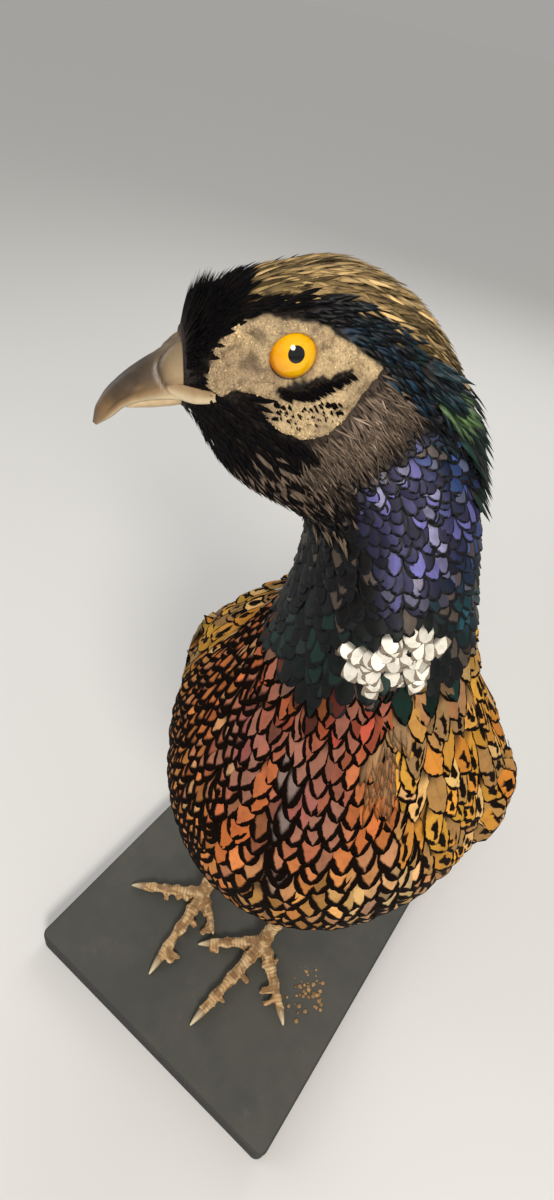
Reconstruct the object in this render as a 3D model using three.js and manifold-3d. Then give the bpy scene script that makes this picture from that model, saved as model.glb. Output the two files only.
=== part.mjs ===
// Mounted cock pheasant standing on a flat slab. Millimetres, +Z up.
// The bird faces -Y, its left side is +X, and its head is turned towards its right.
// The origin is on the slab's underside, midway between the feet.
import * as THREE from 'three';
import { mergeVertices } from 'three/addons/utils/BufferGeometryUtils.js';
import Module from 'manifold-3d';

const wasm = await Module();
wasm.setup();

// ---------------------------------------------------------------- driving dimensions

const GAP = 0.3; // clearance between neighbouring pieces

const SLAB = { width: 183, length: 300, thickness: 16, ahead: 84, corner: 4, bevel: 1.2 };

// Slices of the body from the tips of the tail coverts to the root of the bill. `back` and `belly`
// are the ends of a slice in the bird's middle plane, as [forward, height above the slab].
// `half` is the half width, `egg` how much the upper part outdoes the lower in width, `turn` the
// turn of the slice about the vertical turning axis in degrees, `side` its shift to the bird's left.
const SLICES = [
  { name: 'covert tips', back: [-226, 164], belly: [-222, 146], half: 23, egg: 0, turn: 11, side: 11 },
  { name: 'tail root', back: [-184, 173], belly: [-176, 135], half: 33, egg: 0.04, turn: 10, side: 11 },
  { name: 'rump', back: [-150, 188], belly: [-138, 115], half: 46, egg: 0.1, turn: 9, side: 11 },
  { name: 'loin', back: [-118, 211], belly: [-92, 100], half: 63, egg: 0.16, turn: 8, side: 11 },
  { name: 'hips', back: [-88, 233], belly: [-48, 97], half: 74, egg: 0.2, turn: 8, side: 11 },
  { name: 'back', back: [-68, 251], belly: [-6, 107], half: 79, egg: 0.22, turn: 8, side: 10 },
  { name: 'shoulders', back: [-60, 265], belly: [27, 128], half: 78.5, egg: 0.2, turn: 8, side: 10 },
  { name: 'breast', back: [-57, 276], belly: [49, 165], half: 72, egg: 0.15, turn: 7, side: 10 },
  { name: 'crop', back: [-56, 286], belly: [55, 206], half: 61.5, egg: 0.08, turn: 5, side: 11 },
  { name: 'collar', back: [-55, 295], belly: [42, 244], half: 49, egg: 0.02, turn: 0, side: 13 },
  { name: 'low neck', back: [-53, 309], belly: [20, 277], half: 38.5, egg: 0, turn: -8, side: 12 },
  { name: 'mid neck', back: [-52, 330], belly: [9, 305], half: 32, egg: 0, turn: -18, side: 7 },
  { name: 'high neck', back: [-50, 352], belly: [4, 326], half: 28.5, egg: 0, turn: -28, side: 1 },
  { name: 'nape', back: [-46, 375], belly: [3, 338], half: 27, egg: -0.04, turn: -36, side: -6 },
  { name: 'occiput', back: [-37, 393], belly: [11, 343], half: 26, egg: -0.08, turn: -40, side: -10 },
  { name: 'poll', back: [-21, 407], belly: [21, 348], half: 24.5, egg: -0.1, turn: -40, side: -11 },
  { name: 'crown', back: [0, 415], belly: [29, 355], half: 22, egg: -0.1, turn: -40, side: -12 },
  { name: 'brow', back: [20, 412], belly: [34, 362], half: 18.5, egg: -0.1, turn: -40, side: -12 },
  { name: 'lores', back: [34, 405], belly: [38, 368], half: 13.5, egg: -0.08, turn: -40, side: -12 },
  { name: 'bill root', back: [43, 394], belly: [42, 372], half: 8.5, egg: 0, turn: -40, side: -12 },
];
const TURNING_AXIS = -22; // forward place of the vertical axis that the slices turn about
const SQUARENESS = 2.2; // exponent of the slices' rounded outline; 2 is an ellipse
const SIDES = 28; // corners of a slice

// Lengths of the body: from one place along SLICES to another, with rings per slice.
const LENGTHS = {
  rump: { from: 0, to: 2.1, rows: 2.5 },
  trunk: { from: 2.1, to: 9.7, rows: 2 },
  neck: { from: 9.7, to: 13.3, rows: 3 },
  head: { from: 13.3, to: 19, rows: 3 },
};

const EYE = { radius: 7.8, lateral: 13.2, forward: 16.6, height: 395.3 };

// Upper and lower bill: [forward, height] of the ridge and of the cutting edge, and half width.
const UPPER_BILL = [
  { ridge: [42.7, 391.3], edge: [42.1, 378.2], half: 7.8 },
  { ridge: [49, 387], edge: [47, 376.9], half: 6.7 },
  { ridge: [55.5, 382.4], edge: [52.5, 375.2], half: 5.3 },
  { ridge: [61, 377], edge: [57.5, 372.4], half: 3.8 },
  { ridge: [64.8, 370.8], edge: [61.5, 368], half: 2.3 },
  { ridge: [66, 365.1], edge: [65, 364.5], half: 0.8 },
];
const LOWER_BILL = [
  { ridge: [42.2, 377.5], edge: [41.9, 372.8], half: 7 },
  { ridge: [47, 376.2], edge: [46.6, 371.6], half: 5.9 },
  { ridge: [52.3, 374.4], edge: [51.8, 370.8], half: 4.4 },
  { ridge: [57, 371.8], edge: [56.6, 370.2], half: 2.2 },
];
const BILL_SIDES = 14;
const BILL_KEEL = 0.32; // how much narrower the bill is along its ridge than along its edge

// Outline of a folded wing on the body: [place along SLICES, angle round the slice from the back].
const WING_UPPER_EDGE = [[6.7, 70], [6.1, 60], [5, 51], [3.5, 49], [2, 57], [0.75, 72]];
const WING_LOWER_EDGE = [[6.7, 76], [6.1, 84], [5, 92], [3.5, 100], [2, 98], [0.75, 84]];
const WING = { front: 6.7, split: 4.1, tip: 0.75, seam: 0.015, rows: 9, columns: 8 };
const WING_DEPTH = { clearance: 0.9, arm: 3.6, flight: 2.6, rim: 1.2 };

// Tail: the central pair lies on a stack of side feathers, each shorter than the one inside it.
const TAIL = {
  length: 425, turn: 15, droop: 8, sag: 24, rootInset: 5, lift: -1,
  centralHalf: 17, tipHalf: 4, taper: 1.4, thickness: 2.6,
  centralLines: 4, centralRows: 10, sideRows: 5,
  sideFeathers: 8, shortening: 0.86, notch: 16, rootHalf: 20, spread: 6, roofSlope: 0.36,
};

// Legs: joints as [left, forward, height above the slab].
const LEGS = {
  l: { knee: [44, -14, 136], hock: [28, -27, 76], foot: [24.5, -4.3, 8.5] },
  r: { knee: [-30, -16, 136], hock: [-29, -25, 76], foot: [-26.7, -1.3, 8.5] },
};
const THIGH = { kneeRadius: 23, cuffRadius: 7.5, taper: 0.8 };
const SHANK = { hockRadius: 5.6, shaftRadius: 3.9, footRadius: 5, flare: 6, depth: 1.15, ankle: 9 };
const SPUR = { place: 0.6, radius: 3, length: 13, inwards: 15, upwards: 10 };
const FOOT = {
  padRadius: 7, hindRise: 6, instep: 0.5, toeTaper: 0.7, knuckle: 0.1,
  clawRise: 0.9, clawRoot: 0.6, clawTip: 1, clawTipRadius: 0.4,
};
const TOE_STATIONS = [0, 0.22, 0.5, 0.75, 0.9, 1]; // shares of a toe's length where its height is set

// Toes: where each claw ends on the slab, as [left, forward], with the claw's length and toe's girth.
const TOES = {
  l: {
    inner: { tip: [-8.7, 24.1], claw: 8, radius: 4, joints: 2 },
    middle: { tip: [18, 61.5], claw: 10, radius: 4.3, joints: 3 },
    outer: { tip: [63.2, 25.3], claw: 8, radius: 3.9, joints: 4 },
    hind: { tip: [19, -31], claw: 7, radius: 3.2, joints: 1 },
  },
  r: {
    inner: { tip: [-5.1, 13], claw: 7, radius: 4, joints: 2 },
    middle: { tip: [-20.9, 57.2], claw: 10, radius: 4.3, joints: 3 },
    outer: { tip: [-69.2, 25], claw: 8, radius: 3.9, joints: 4 },
    hind: { tip: [-25, -28], claw: 7, radius: 3.2, joints: 1 },
  },
};
const WEB = { reach: 15, thickness: 2.4, height: 1 };

// Ear tuft: places along SLICES, angles from the back and heights above the skin of its middle line.
const EAR_TUFT = {
  line: [[15, 46, 0], [14.5, 48, 1.5], [14, 49, 4], [13.6, 50, 8]], radius: 4, tipRadius: 0.8,
};

// Facets of the round pieces: around them and, on a ball, from pole to pole.
const FACETS = { eye: [12, 9], pad: [10, 6], spur: [10] };

const COLOURS = {
  breast: 0x8a4a22, mantle: 0xa8702c, rump: 0x6d5a3c, neck: 0x1d2430, head: 0x2b2a24, wing: 0x8f7350,
  tail: 0x9a7c4c, thigh: 0x5c4028, leg: 0xb89a6a, claw: 0x6a5a45, bill: 0xcdbf9c, eye: 0xc98a12,
  slab: 0x4a4b47,
};

// ---------------------------------------------------------------- solid makers

const LEFTWARDS = new THREE.Vector3(1, 0, 0);
const UPWARDS = new THREE.Vector3(0, 0, 1);
const radians = THREE.MathUtils.degToRad;
const mix = THREE.MathUtils.lerp;

/** Volume enclosed by indexed faces, negative if they face inwards. */
function enclosedVolume(points, faces) {
  let sum = 0;
  const cross = new THREE.Vector3();
  for (let i = 0; i < faces.length; i += 3) {
    cross.crossVectors(points[faces[i + 1]], points[faces[i + 2]]);
    sum += points[faces[i]].dot(cross);
  }
  return sum / 6;
}

/** Geometry of a closed body, its faces turned outwards. */
function closedGeometry(points, faces) {
  const outward = enclosedVolume(points, faces) > 0 ? faces : faces.slice().reverse();
  const geometry = new THREE.BufferGeometry();
  geometry.setAttribute('position', new THREE.Float32BufferAttribute(points.flatMap((p) => p.toArray()), 3));
  geometry.setIndex(outward);
  geometry.computeVertexNormals();
  return geometry;
}

function centreOf(points) {
  const sum = new THREE.Vector3();
  points.forEach((p) => sum.add(p));
  return sum.divideScalar(points.length);
}

/** Closed solid through a row of equal rings, with a fan over each end. */
function ringSolid(rings) {
  const sides = rings[0].length;
  const last = (rings.length - 1) * sides;
  const points = [...rings.flat(), centreOf(rings[0]), centreOf(rings[rings.length - 1])];
  const firstCentre = last + sides;
  const lastCentre = firstCentre + 1;
  const faces = [];
  for (let k = 0; k < sides; k += 1) {
    const next = (k + 1) % sides;
    for (let start = 0; start < last; start += sides) {
      faces.push(start + k, start + next, start + next + sides);
      faces.push(start + k, start + next + sides, start + k + sides);
    }
    faces.push(firstCentre, next, k);
    faces.push(lastCentre, last + k, last + next);
  }
  return closedGeometry(points, faces);
}

/** Closed shell between two equal grids of points. */
function shellSolid(inner, outer) {
  const rows = inner.length;
  const columns = inner[0].length;
  const lift = rows * columns;
  const faces = [];
  const at = (row, column) => row * columns + column;
  for (let row = 0; row + 1 < rows; row += 1) {
    for (let column = 0; column + 1 < columns; column += 1) {
      const corners = [at(row, column), at(row, column + 1), at(row + 1, column + 1), at(row + 1, column)];
      const [a, b, c, d] = corners;
      faces.push(a, b, c, a, c, d);
      faces.push(a + lift, c + lift, b + lift, a + lift, d + lift, c + lift);
    }
  }
  const rim = [];
  for (let column = 0; column < columns - 1; column += 1) rim.push(at(0, column));
  for (let row = 0; row < rows - 1; row += 1) rim.push(at(row, columns - 1));
  for (let column = columns - 1; column > 0; column -= 1) rim.push(at(rows - 1, column));
  for (let row = rows - 1; row > 0; row -= 1) rim.push(at(row, 0));
  rim.forEach((from, i) => {
    const to = rim[(i + 1) % rim.length];
    faces.push(to, from, from + lift, to, from + lift, to + lift);
  });
  return closedGeometry([...inner.flat(), ...outer.flat()], faces);
}

/** Round or oval limb along a curve, none of it lower than `floor`. */
function limbSolid(curve, radiusAt, { steps, sides, aside, floor = -Infinity, depth = 1 }) {
  const rings = [];
  for (let step = 0; step <= steps; step += 1) {
    const t = step / steps;
    const centre = curve.getPointAt(t);
    const across = curve.getTangentAt(t).cross(aside).normalize();
    const over = across.clone().cross(curve.getTangentAt(t)).normalize();
    const ring = [];
    for (let k = 0; k < sides; k += 1) {
      const angle = (2 * Math.PI * k) / sides;
      const point = centre.clone();
      point.addScaledVector(across, radiusAt(t) * Math.cos(angle));
      point.addScaledVector(over, radiusAt(t) * depth * Math.sin(angle));
      point.z = Math.max(point.z, floor);
      ring.push(point);
    }
    rings.push(ring);
  }
  return ringSolid(rings);
}

function toManifold(geometry) {
  const bare = geometry.clone();
  bare.deleteAttribute('normal');
  bare.deleteAttribute('uv');
  const merged = mergeVertices(bare);
  return new wasm.Manifold(new wasm.Mesh({
    numProp: 3,
    vertProperties: new Float32Array(merged.attributes.position.array),
    triVerts: new Uint32Array(merged.index.array),
  }));
}

function fromManifold(solid) {
  const { vertProperties, triVerts } = solid.getMesh();
  const geometry = new THREE.BufferGeometry();
  geometry.setAttribute('position', new THREE.BufferAttribute(new Float32Array(vertProperties), 3));
  geometry.setIndex(new THREE.BufferAttribute(new Uint32Array(triVerts), 1));
  geometry.computeVertexNormals();
  return geometry;
}

/** What is left of a piece once the cutters are taken away. */
function cutAway(geometry, cutters) {
  const left = cutters.reduce((solid, cutter) => solid.subtract(toManifold(cutter)), toManifold(geometry));
  return fromManifold(left);
}

function joined(geometries) {
  return fromManifold(geometries.map(toManifold).reduce((whole, piece) => whole.add(piece)));
}

// ---------------------------------------------------------------- the bird's own frame

/** Point from [left, forward, height above the slab]. */
function onSlab([left, forward, height]) {
  return new THREE.Vector3(left, -forward, height + SLAB.thickness);
}

/** The same, turned about the vertical turning axis and then shifted to the left. */
function turned([left, forward, height], turn, side) {
  const angle = radians(turn);
  const reach = forward - TURNING_AXIS;
  return onSlab([
    left * Math.cos(angle) + reach * Math.sin(angle) + side,
    TURNING_AXIS + reach * Math.cos(angle) - left * Math.sin(angle),
    height,
  ]);
}

const HEAD_STANCE = SLICES[SLICES.length - 1];

/** Point of the head from [left, forward, height] as they are before the head turns. */
function onHead(place) {
  return turned(place, HEAD_STANCE.turn, HEAD_STANCE.side);
}

/** Smooth line through one triple of values for each slice. */
function lineThrough(valuesOf) {
  const points = SLICES.map((slice) => new THREE.Vector3(...valuesOf(slice)));
  return new THREE.CatmullRomCurve3(points, false, 'catmullrom', 0.5);
}

const backLine = lineThrough(({ back }) => [...back, 0]);
const bellyLine = lineThrough(({ belly }) => [...belly, 0]);
const girthLine = lineThrough(({ half, egg }) => [half, egg, 0]);
const stanceLine = lineThrough(({ turn, side }) => [turn, side, 0]);

function rounded(value) {
  return Math.sign(value) * Math.abs(value) ** (2 / SQUARENESS);
}

/** Point of the body's surface at a place along SLICES and an angle from the back to the left. */
function bodyPoint(place, angle, grow = 0) {
  const t = place / (SLICES.length - 1);
  const back = backLine.getPoint(t);
  const belly = bellyLine.getPoint(t);
  const girth = girthLine.getPoint(t);
  const stance = stanceLine.getPoint(t);
  const middle = back.clone().add(belly).multiplyScalar(0.5);
  const rise = back.clone().sub(middle);
  const reach = rounded(Math.cos(angle)) * (1 + grow / rise.length());
  const left = (girth.x + grow) * rounded(Math.sin(angle)) * (1 + girth.y * Math.cos(angle));
  return turned([left, middle.x + rise.x * reach, middle.y + rise.y * reach], stance.x, stance.y);
}

function bodyRing(place, grow) {
  const ring = [];
  for (let k = 0; k < SIDES; k += 1) {
    ring.push(bodyPoint(place, (2 * Math.PI * k) / SIDES, grow));
  }
  return ring;
}

/** Ring moved along the body, square to its own plane. */
function shiftedRing(ring, distance) {
  const [first, second, third] = [0, SIDES / 4, SIDES / 2].map((k) => ring[k]);
  const normal = second.clone().sub(first).cross(third.clone().sub(first)).normalize();
  return ring.map((point) => point.clone().addScaledVector(normal, distance));
}

/** One length of the body, its ends moved in by `trim` and its surface out by `grow`. */
function bodyLength({ from, to, rows }, { trim = GAP / 2, grow = 0 } = {}) {
  const steps = Math.round((to - from) * rows);
  const rings = [];
  for (let step = 0; step <= steps; step += 1) {
    rings.push(bodyRing(mix(from, to, step / steps), grow));
  }
  const ahead = -1; // rings run from tail to bill, and their normals point backwards
  rings[0] = shiftedRing(rings[0], ahead * trim);
  rings[steps] = shiftedRing(rings[steps], -ahead * trim);
  return ringSolid(rings);
}

// ---------------------------------------------------------------- trunk, neck and head

/** A length of the body with clearance all round, to cut its neighbours back with. */
function cutterOf(length) {
  return bodyLength(length, { trim: -GAP, grow: GAP });
}

function makeEye(side, grow = 0) {
  const ball = new THREE.SphereGeometry(EYE.radius + grow, ...FACETS.eye);
  const centre = onHead([side * EYE.lateral, EYE.forward, EYE.height]);
  return ball.translate(...centre.toArray());
}

function makeHead() {
  return cutAway(bodyLength(LENGTHS.head), [makeEye(1, GAP), makeEye(-1, GAP)]);
}

/** Half of the bill: oval slices between its ridge and its edge. */
function makeBill(slices) {
  const rings = slices.map(({ ridge, edge, half }) => {
    const ring = [];
    for (let k = 0; k < BILL_SIDES; k += 1) {
      const angle = (2 * Math.PI * k) / BILL_SIDES;
      const share = (1 + rounded(Math.cos(angle))) / 2;
      const left = half * rounded(Math.sin(angle)) * (1 - BILL_KEEL * Math.cos(angle));
      ring.push(onHead([left, mix(edge[0], ridge[0], share) + GAP, mix(edge[1], ridge[1], share)]));
    }
    return ring;
  });
  return ringSolid(rings);
}

function makeEarTuft(side) {
  const { line, radius, tipRadius } = EAR_TUFT;
  const points = line.map(([place, angle, lift]) => bodyPoint(place, side * radians(angle), lift));
  const taper = (t) => mix(radius, tipRadius, t * t);
  const curve = new THREE.CatmullRomCurve3(points);
  const tuft = limbSolid(curve, taper, { steps: 4, sides: 7, aside: UPWARDS });
  return cutAway(tuft, [cutterOf(LENGTHS.head), cutterOf(LENGTHS.neck)]);
}

// ---------------------------------------------------------------- wings and tail

/** Value of an outline made of [place, value] pairs, by smooth steps between them. */
function outlineValue(outline, place) {
  const last = outline.findIndex(([x]) => x <= place);
  const index = Math.max(1, last < 0 ? outline.length - 1 : last);
  const [x0, y0] = outline[index - 1];
  const [x1, y1] = outline[index];
  return mix(y0, y1, THREE.MathUtils.smoothstep((x0 - place) / (x0 - x1), 0, 1));
}

/** Part of a folded wing between two places along the body, as a shell over the flank. */
function makeWingPart(side, from, to, thickness) {
  const inner = [];
  const outer = [];
  for (let row = 0; row <= WING.rows; row += 1) {
    const place = mix(from, to, row / WING.rows);
    const upper = outlineValue(WING_UPPER_EDGE, place);
    const lower = outlineValue(WING_LOWER_EDGE, place);
    const innerRow = [];
    const outerRow = [];
    for (let column = 0; column < WING.columns; column += 1) {
      const share = column / (WING.columns - 1);
      const angle = side * radians(mix(upper, lower, share));
      const crown = Math.sin(Math.PI * share);
      const depth = mix(WING_DEPTH.rim, thickness, crown);
      innerRow.push(bodyPoint(place, angle, WING_DEPTH.clearance));
      outerRow.push(bodyPoint(place, angle, WING_DEPTH.clearance + depth));
    }
    inner.push(innerRow);
    outer.push(outerRow);
  }
  return shellSolid(inner, outer);
}

function makeWing(side) {
  return makeWingPart(side, WING.front, WING.split, WING_DEPTH.arm);
}

function makeFlightFeathers(side) {
  return makeWingPart(side, WING.split - WING.seam, WING.tip, WING_DEPTH.flight);
}

const tailRoot = centreOf(bodyRing(LENGTHS.rump.from, 0));
const rumpCutter = cutterOf(LENGTHS.rump);

/** Point of the tail from its distance down the tail, to the left, and above its middle surface. */
function onTail(along, left, above) {
  const sag = TAIL.sag * (along / TAIL.length) ** 2;
  const roof = TAIL.roofSlope * Math.abs(left);
  const point = new THREE.Vector3(left, along - TAIL.rootInset, TAIL.lift + above - sag - roof);
  point.applyAxisAngle(LEFTWARDS, radians(-TAIL.droop));
  point.applyAxisAngle(UPWARDS, radians(TAIL.turn));
  return point.add(tailRoot);
}

function makeTailShell(lines, rows, leftAt, lengthAt, top) {
  const gridAt = (above) => {
    const grid = [];
    for (let line = 0; line <= lines; line += 1) {
      const share = line / lines;
      const points = [];
      for (let row = 0; row <= rows; row += 1) {
        const along = lengthAt(share) * (row / rows);
        points.push(onTail(along, leftAt(share, along), above));
      }
      grid.push(points);
    }
    return grid;
  };
  return shellSolid(gridAt(top - TAIL.thickness), gridAt(top));
}

function makeCentralTail() {
  const leftAt = (share, along) => {
    const down = along / TAIL.length;
    const half = mix(TAIL.centralHalf, TAIL.tipHalf, down ** TAIL.taper);
    return half * (2 * share - 1);
  };
  const lengthAt = (share) => TAIL.length - TAIL.notch * Math.abs(2 * share - 1);
  const { centralLines, centralRows, thickness } = TAIL;
  return cutAway(makeTailShell(centralLines, centralRows, leftAt, lengthAt, thickness), [rumpCutter]);
}

function makeSideTail(side) {
  const lines = TAIL.sideFeathers * 2;
  const inner = GAP / 2;
  const leftAt = (share, along) => {
    const half = TAIL.rootHalf + along * Math.tan(radians(TAIL.spread));
    return side * mix(inner, half, share);
  };
  const lengthAt = (share) => {
    const line = Math.round(share * lines);
    const feather = Math.ceil(line / 2);
    const tip = TAIL.length * TAIL.shortening ** Math.max(1, feather);
    return line % 2 ? tip : tip - TAIL.notch;
  };
  return cutAway(makeTailShell(lines, TAIL.sideRows, leftAt, lengthAt, -GAP), [rumpCutter]);
}

// ---------------------------------------------------------------- legs

/** Point on the straight line from one joint of a leg to the next, `distance` past the first. */
function pastJoint(from, to, distance) {
  const start = onSlab(from);
  const along = onSlab(to).sub(start).normalize();
  return start.addScaledVector(along, distance);
}

function makeThigh(side, grow = 0) {
  const { knee, hock } = LEGS[side];
  const curve = new THREE.LineCurve3(onSlab(knee), pastJoint(hock, knee, -grow));
  const taper = (t) => mix(THIGH.kneeRadius, THIGH.cuffRadius, t ** THIGH.taper) + grow;
  return limbSolid(curve, taper, { steps: 6, sides: 16, aside: LEFTWARDS });
}

function makeVisibleThigh(side) {
  return cutAway(makeThigh(side), [cutterOf(LENGTHS.trunk), cutterOf(LENGTHS.rump)]);
}

const SHANK_LOOK = { steps: 8, sides: 10, aside: LEFTWARDS, depth: SHANK.depth };

function shankRadius(t) {
  const joint = t < 0.5 ? SHANK.hockRadius : SHANK.footRadius;
  return mix(SHANK.shaftRadius, joint, Math.cos(Math.PI * t) ** SHANK.flare);
}

function makeShank(side, grow = 0) {
  const { hock, foot } = LEGS[side];
  const curve = new THREE.LineCurve3(onSlab(hock), pastJoint(foot, hock, SHANK.ankle + GAP));
  const radiusAt = (t) => shankRadius(t) + grow;
  return limbSolid(curve, radiusAt, SHANK_LOOK);
}

function makeVisibleShank(side) {
  return cutAway(makeShank(side), [makeThigh(side, GAP)]);
}

function makeSpur(side) {
  const { hock, foot } = LEGS[side];
  const inwards = side === 'l' ? -1 : 1;
  const cone = new THREE.ConeGeometry(SPUR.radius, SPUR.length, ...FACETS.spur);
  cone.translate(0, SPUR.length / 2, 0);
  cone.rotateZ(radians(-inwards * SPUR.inwards));
  cone.rotateX(radians(SPUR.upwards));
  cone.translate(...onSlab(hock).lerp(onSlab(foot), SPUR.place).toArray());
  return cutAway(cone, [makeShank(side, GAP)]);
}

/** Line of a toe and its claw, from inside the foot to the claw's tip on the slab. */
function toeCurve(side, name) {
  const { foot } = LEGS[side];
  const { tip, radius } = TOES[side][name];
  const start = name === 'hind' ? foot[2] + FOOT.hindRise : foot[2];
  const instep = mix(start, radius, FOOT.instep);
  const heights = [start, instep, radius, radius, radius * FOOT.clawRise, FOOT.clawTip];
  const points = TOE_STATIONS.map((share, i) => onSlab([
    mix(foot[0], tip[0], share),
    mix(foot[1], tip[1], share),
    heights[i],
  ]));
  return new THREE.CatmullRomCurve3(points);
}

/** Part of a curve, as a curve of its own. */
class Stretch extends THREE.Curve {
  constructor(whole, from, to) {
    super();
    Object.assign(this, { whole, from, to });
  }

  getPoint(t, target = new THREE.Vector3()) {
    return target.copy(this.whole.getPointAt(mix(this.from, this.to, t)));
  }
}

const SLAB_TOP = SLAB.thickness + GAP;
const TOE_LOOK = { steps: 6, sides: 7, aside: UPWARDS, floor: SLAB_TOP };

function makeToe(side, name) {
  const curve = toeCurve(side, name);
  const { claw, radius, joints } = TOES[side][name];
  const end = 1 - claw / curve.getLength();
  const radiusAt = (t) => mix(radius, radius * FOOT.toeTaper, t)
    * (1 + FOOT.knuckle * Math.cos(2 * Math.PI * joints * t));
  return limbSolid(new Stretch(curve, 0, end), radiusAt, TOE_LOOK);
}

function makeClaw(side, name) {
  const curve = toeCurve(side, name);
  const { claw, radius } = TOES[side][name];
  const start = 1 - (claw - GAP) / curve.getLength();
  const radiusAt = (t) => mix(radius * FOOT.clawRoot, FOOT.clawTipRadius, t);
  return limbSolid(new Stretch(curve, start, 1), radiusAt, { ...TOE_LOOK, steps: 3, sides: 6 });
}

/** Skin between the roots of the three front toes. */
function makeWeb(side) {
  const centre = new THREE.Vector2(LEGS[side].foot[0], -LEGS[side].foot[1]);
  const corners = ['inner', 'middle', 'outer'].map((name) => {
    const { tip } = TOES[side][name];
    return new THREE.Vector2(tip[0], -tip[1]).sub(centre).setLength(WEB.reach).add(centre);
  });
  const outline = new THREE.Shape([centre, ...corners]);
  const web = new THREE.ExtrudeGeometry(outline, { depth: WEB.thickness, bevelEnabled: false });
  return web.translate(0, 0, SLAB.thickness + WEB.height);
}

function makeFoot(side) {
  const { foot, hock } = LEGS[side];
  const ankleCurve = new THREE.LineCurve3(onSlab(foot), pastJoint(foot, hock, SHANK.ankle));
  const ankle = limbSolid(ankleCurve, () => SHANK.footRadius, { ...SHANK_LOOK, steps: 2 });
  const pad = new THREE.SphereGeometry(FOOT.padRadius, ...FACETS.pad);
  pad.translate(...onSlab(foot).toArray());
  const toes = Object.keys(TOES[side]).map((name) => makeToe(side, name));
  return joined([ankle, pad, ...toes, makeWeb(side)]);
}

// ---------------------------------------------------------------- slab

function makeSlab() {
  const { width, length, thickness, ahead, corner, bevel } = SLAB;
  const half = width / 2 - bevel;
  const front = -ahead + bevel;
  const rear = length - ahead - bevel;
  const outline = new THREE.Shape();
  outline.moveTo(-half + corner, front);
  outline.lineTo(half - corner, front);
  outline.absarc(half - corner, front + corner, corner, -Math.PI / 2, 0);
  outline.absarc(half - corner, rear - corner, corner, 0, Math.PI / 2);
  outline.absarc(-half + corner, rear - corner, corner, Math.PI / 2, Math.PI);
  outline.absarc(-half + corner, front + corner, corner, Math.PI, 1.5 * Math.PI);
  const edge = { bevelThickness: bevel, bevelSize: bevel, bevelSegments: 1, curveSegments: 3 };
  const slab = new THREE.ExtrudeGeometry(outline, { depth: thickness - 2 * bevel, ...edge });
  return slab.translate(0, 0, bevel);
}

// ---------------------------------------------------------------- assembly

const FINISHES = {
  feathers: { roughness: 0.7, metalness: 0 },
  gloss: { roughness: 0.35, metalness: 0.2 },
  leg: { roughness: 0.6, metalness: 0 },
  horn: { roughness: 0.4, metalness: 0 },
  glass: { roughness: 0.05, metalness: 0 },
  slab: { roughness: 0.65, metalness: 0 },
};

const pheasant = new THREE.Group();

function addPart(name, geometry, colour, finish) {
  const material = new THREE.MeshStandardMaterial({ color: COLOURS[colour], ...FINISHES[finish] });
  const mesh = new THREE.Mesh(geometry, material);
  mesh.name = name;
  pheasant.add(mesh);
}

addPart('base_slab', makeSlab(), 'slab', 'slab');
addPart('trunk', bodyLength(LENGTHS.trunk), 'breast', 'feathers');
addPart('rump', bodyLength(LENGTHS.rump), 'rump', 'feathers');
addPart('neck', bodyLength(LENGTHS.neck), 'neck', 'gloss');
addPart('head', makeHead(), 'head', 'feathers');
addPart('bill_upper', makeBill(UPPER_BILL), 'bill', 'horn');
addPart('bill_lower', makeBill(LOWER_BILL), 'bill', 'horn');
addPart('tail_central', makeCentralTail(), 'tail', 'feathers');

for (const [side, leftwards] of [['l', 1], ['r', -1]]) {
  addPart(`eye_${side}`, makeEye(leftwards), 'eye', 'glass');
  addPart(`ear_tuft_${side}`, makeEarTuft(leftwards), 'neck', 'gloss');
  addPart(`wing_${side}`, makeWing(leftwards), 'mantle', 'feathers');
  addPart(`flight_feathers_${side}`, makeFlightFeathers(leftwards), 'wing', 'feathers');
  addPart(`tail_${side}`, makeSideTail(leftwards), 'tail', 'feathers');
  addPart(`thigh_${side}`, makeVisibleThigh(side), 'thigh', 'feathers');
  addPart(`shank_${side}`, makeVisibleShank(side), 'leg', 'leg');
  addPart(`spur_${side}`, makeSpur(side), 'claw', 'horn');
  addPart(`foot_${side}`, makeFoot(side), 'leg', 'leg');
  for (const toe of Object.keys(TOES[side])) {
    addPart(`claw_${side}_${toe}`, makeClaw(side, toe), 'claw', 'horn');
  }
}

export default pheasant;
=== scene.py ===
import math

import bmesh
import bpy
import numpy as np
from mathutils import Matrix, Vector


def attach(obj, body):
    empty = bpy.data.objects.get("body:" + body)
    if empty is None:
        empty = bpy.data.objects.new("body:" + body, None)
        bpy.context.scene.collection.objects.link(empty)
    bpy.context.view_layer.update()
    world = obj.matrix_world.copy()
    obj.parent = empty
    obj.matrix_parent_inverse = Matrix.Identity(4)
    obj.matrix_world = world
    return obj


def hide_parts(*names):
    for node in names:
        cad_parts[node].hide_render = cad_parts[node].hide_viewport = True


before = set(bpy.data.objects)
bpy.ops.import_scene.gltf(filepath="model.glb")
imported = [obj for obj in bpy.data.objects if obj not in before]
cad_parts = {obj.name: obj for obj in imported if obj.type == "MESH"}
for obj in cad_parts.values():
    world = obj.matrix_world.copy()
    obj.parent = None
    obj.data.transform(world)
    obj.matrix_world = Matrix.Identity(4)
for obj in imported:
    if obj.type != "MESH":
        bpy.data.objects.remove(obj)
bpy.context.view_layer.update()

# Lengths are in millimetres, as [bird's left, forward, height over the board's top],
# and become metres in the part's frame, in row order x, y, z, when a mesh is made.
MM = 0.001
BOARD_THICKNESS = 16
RIM_SQUARENESS = 2.2
TURNING_AXIS = -22
HEAD_TURN, HEAD_SIDE = -40, -12


# ---------------------------------------------------------------- the mount's body

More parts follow.
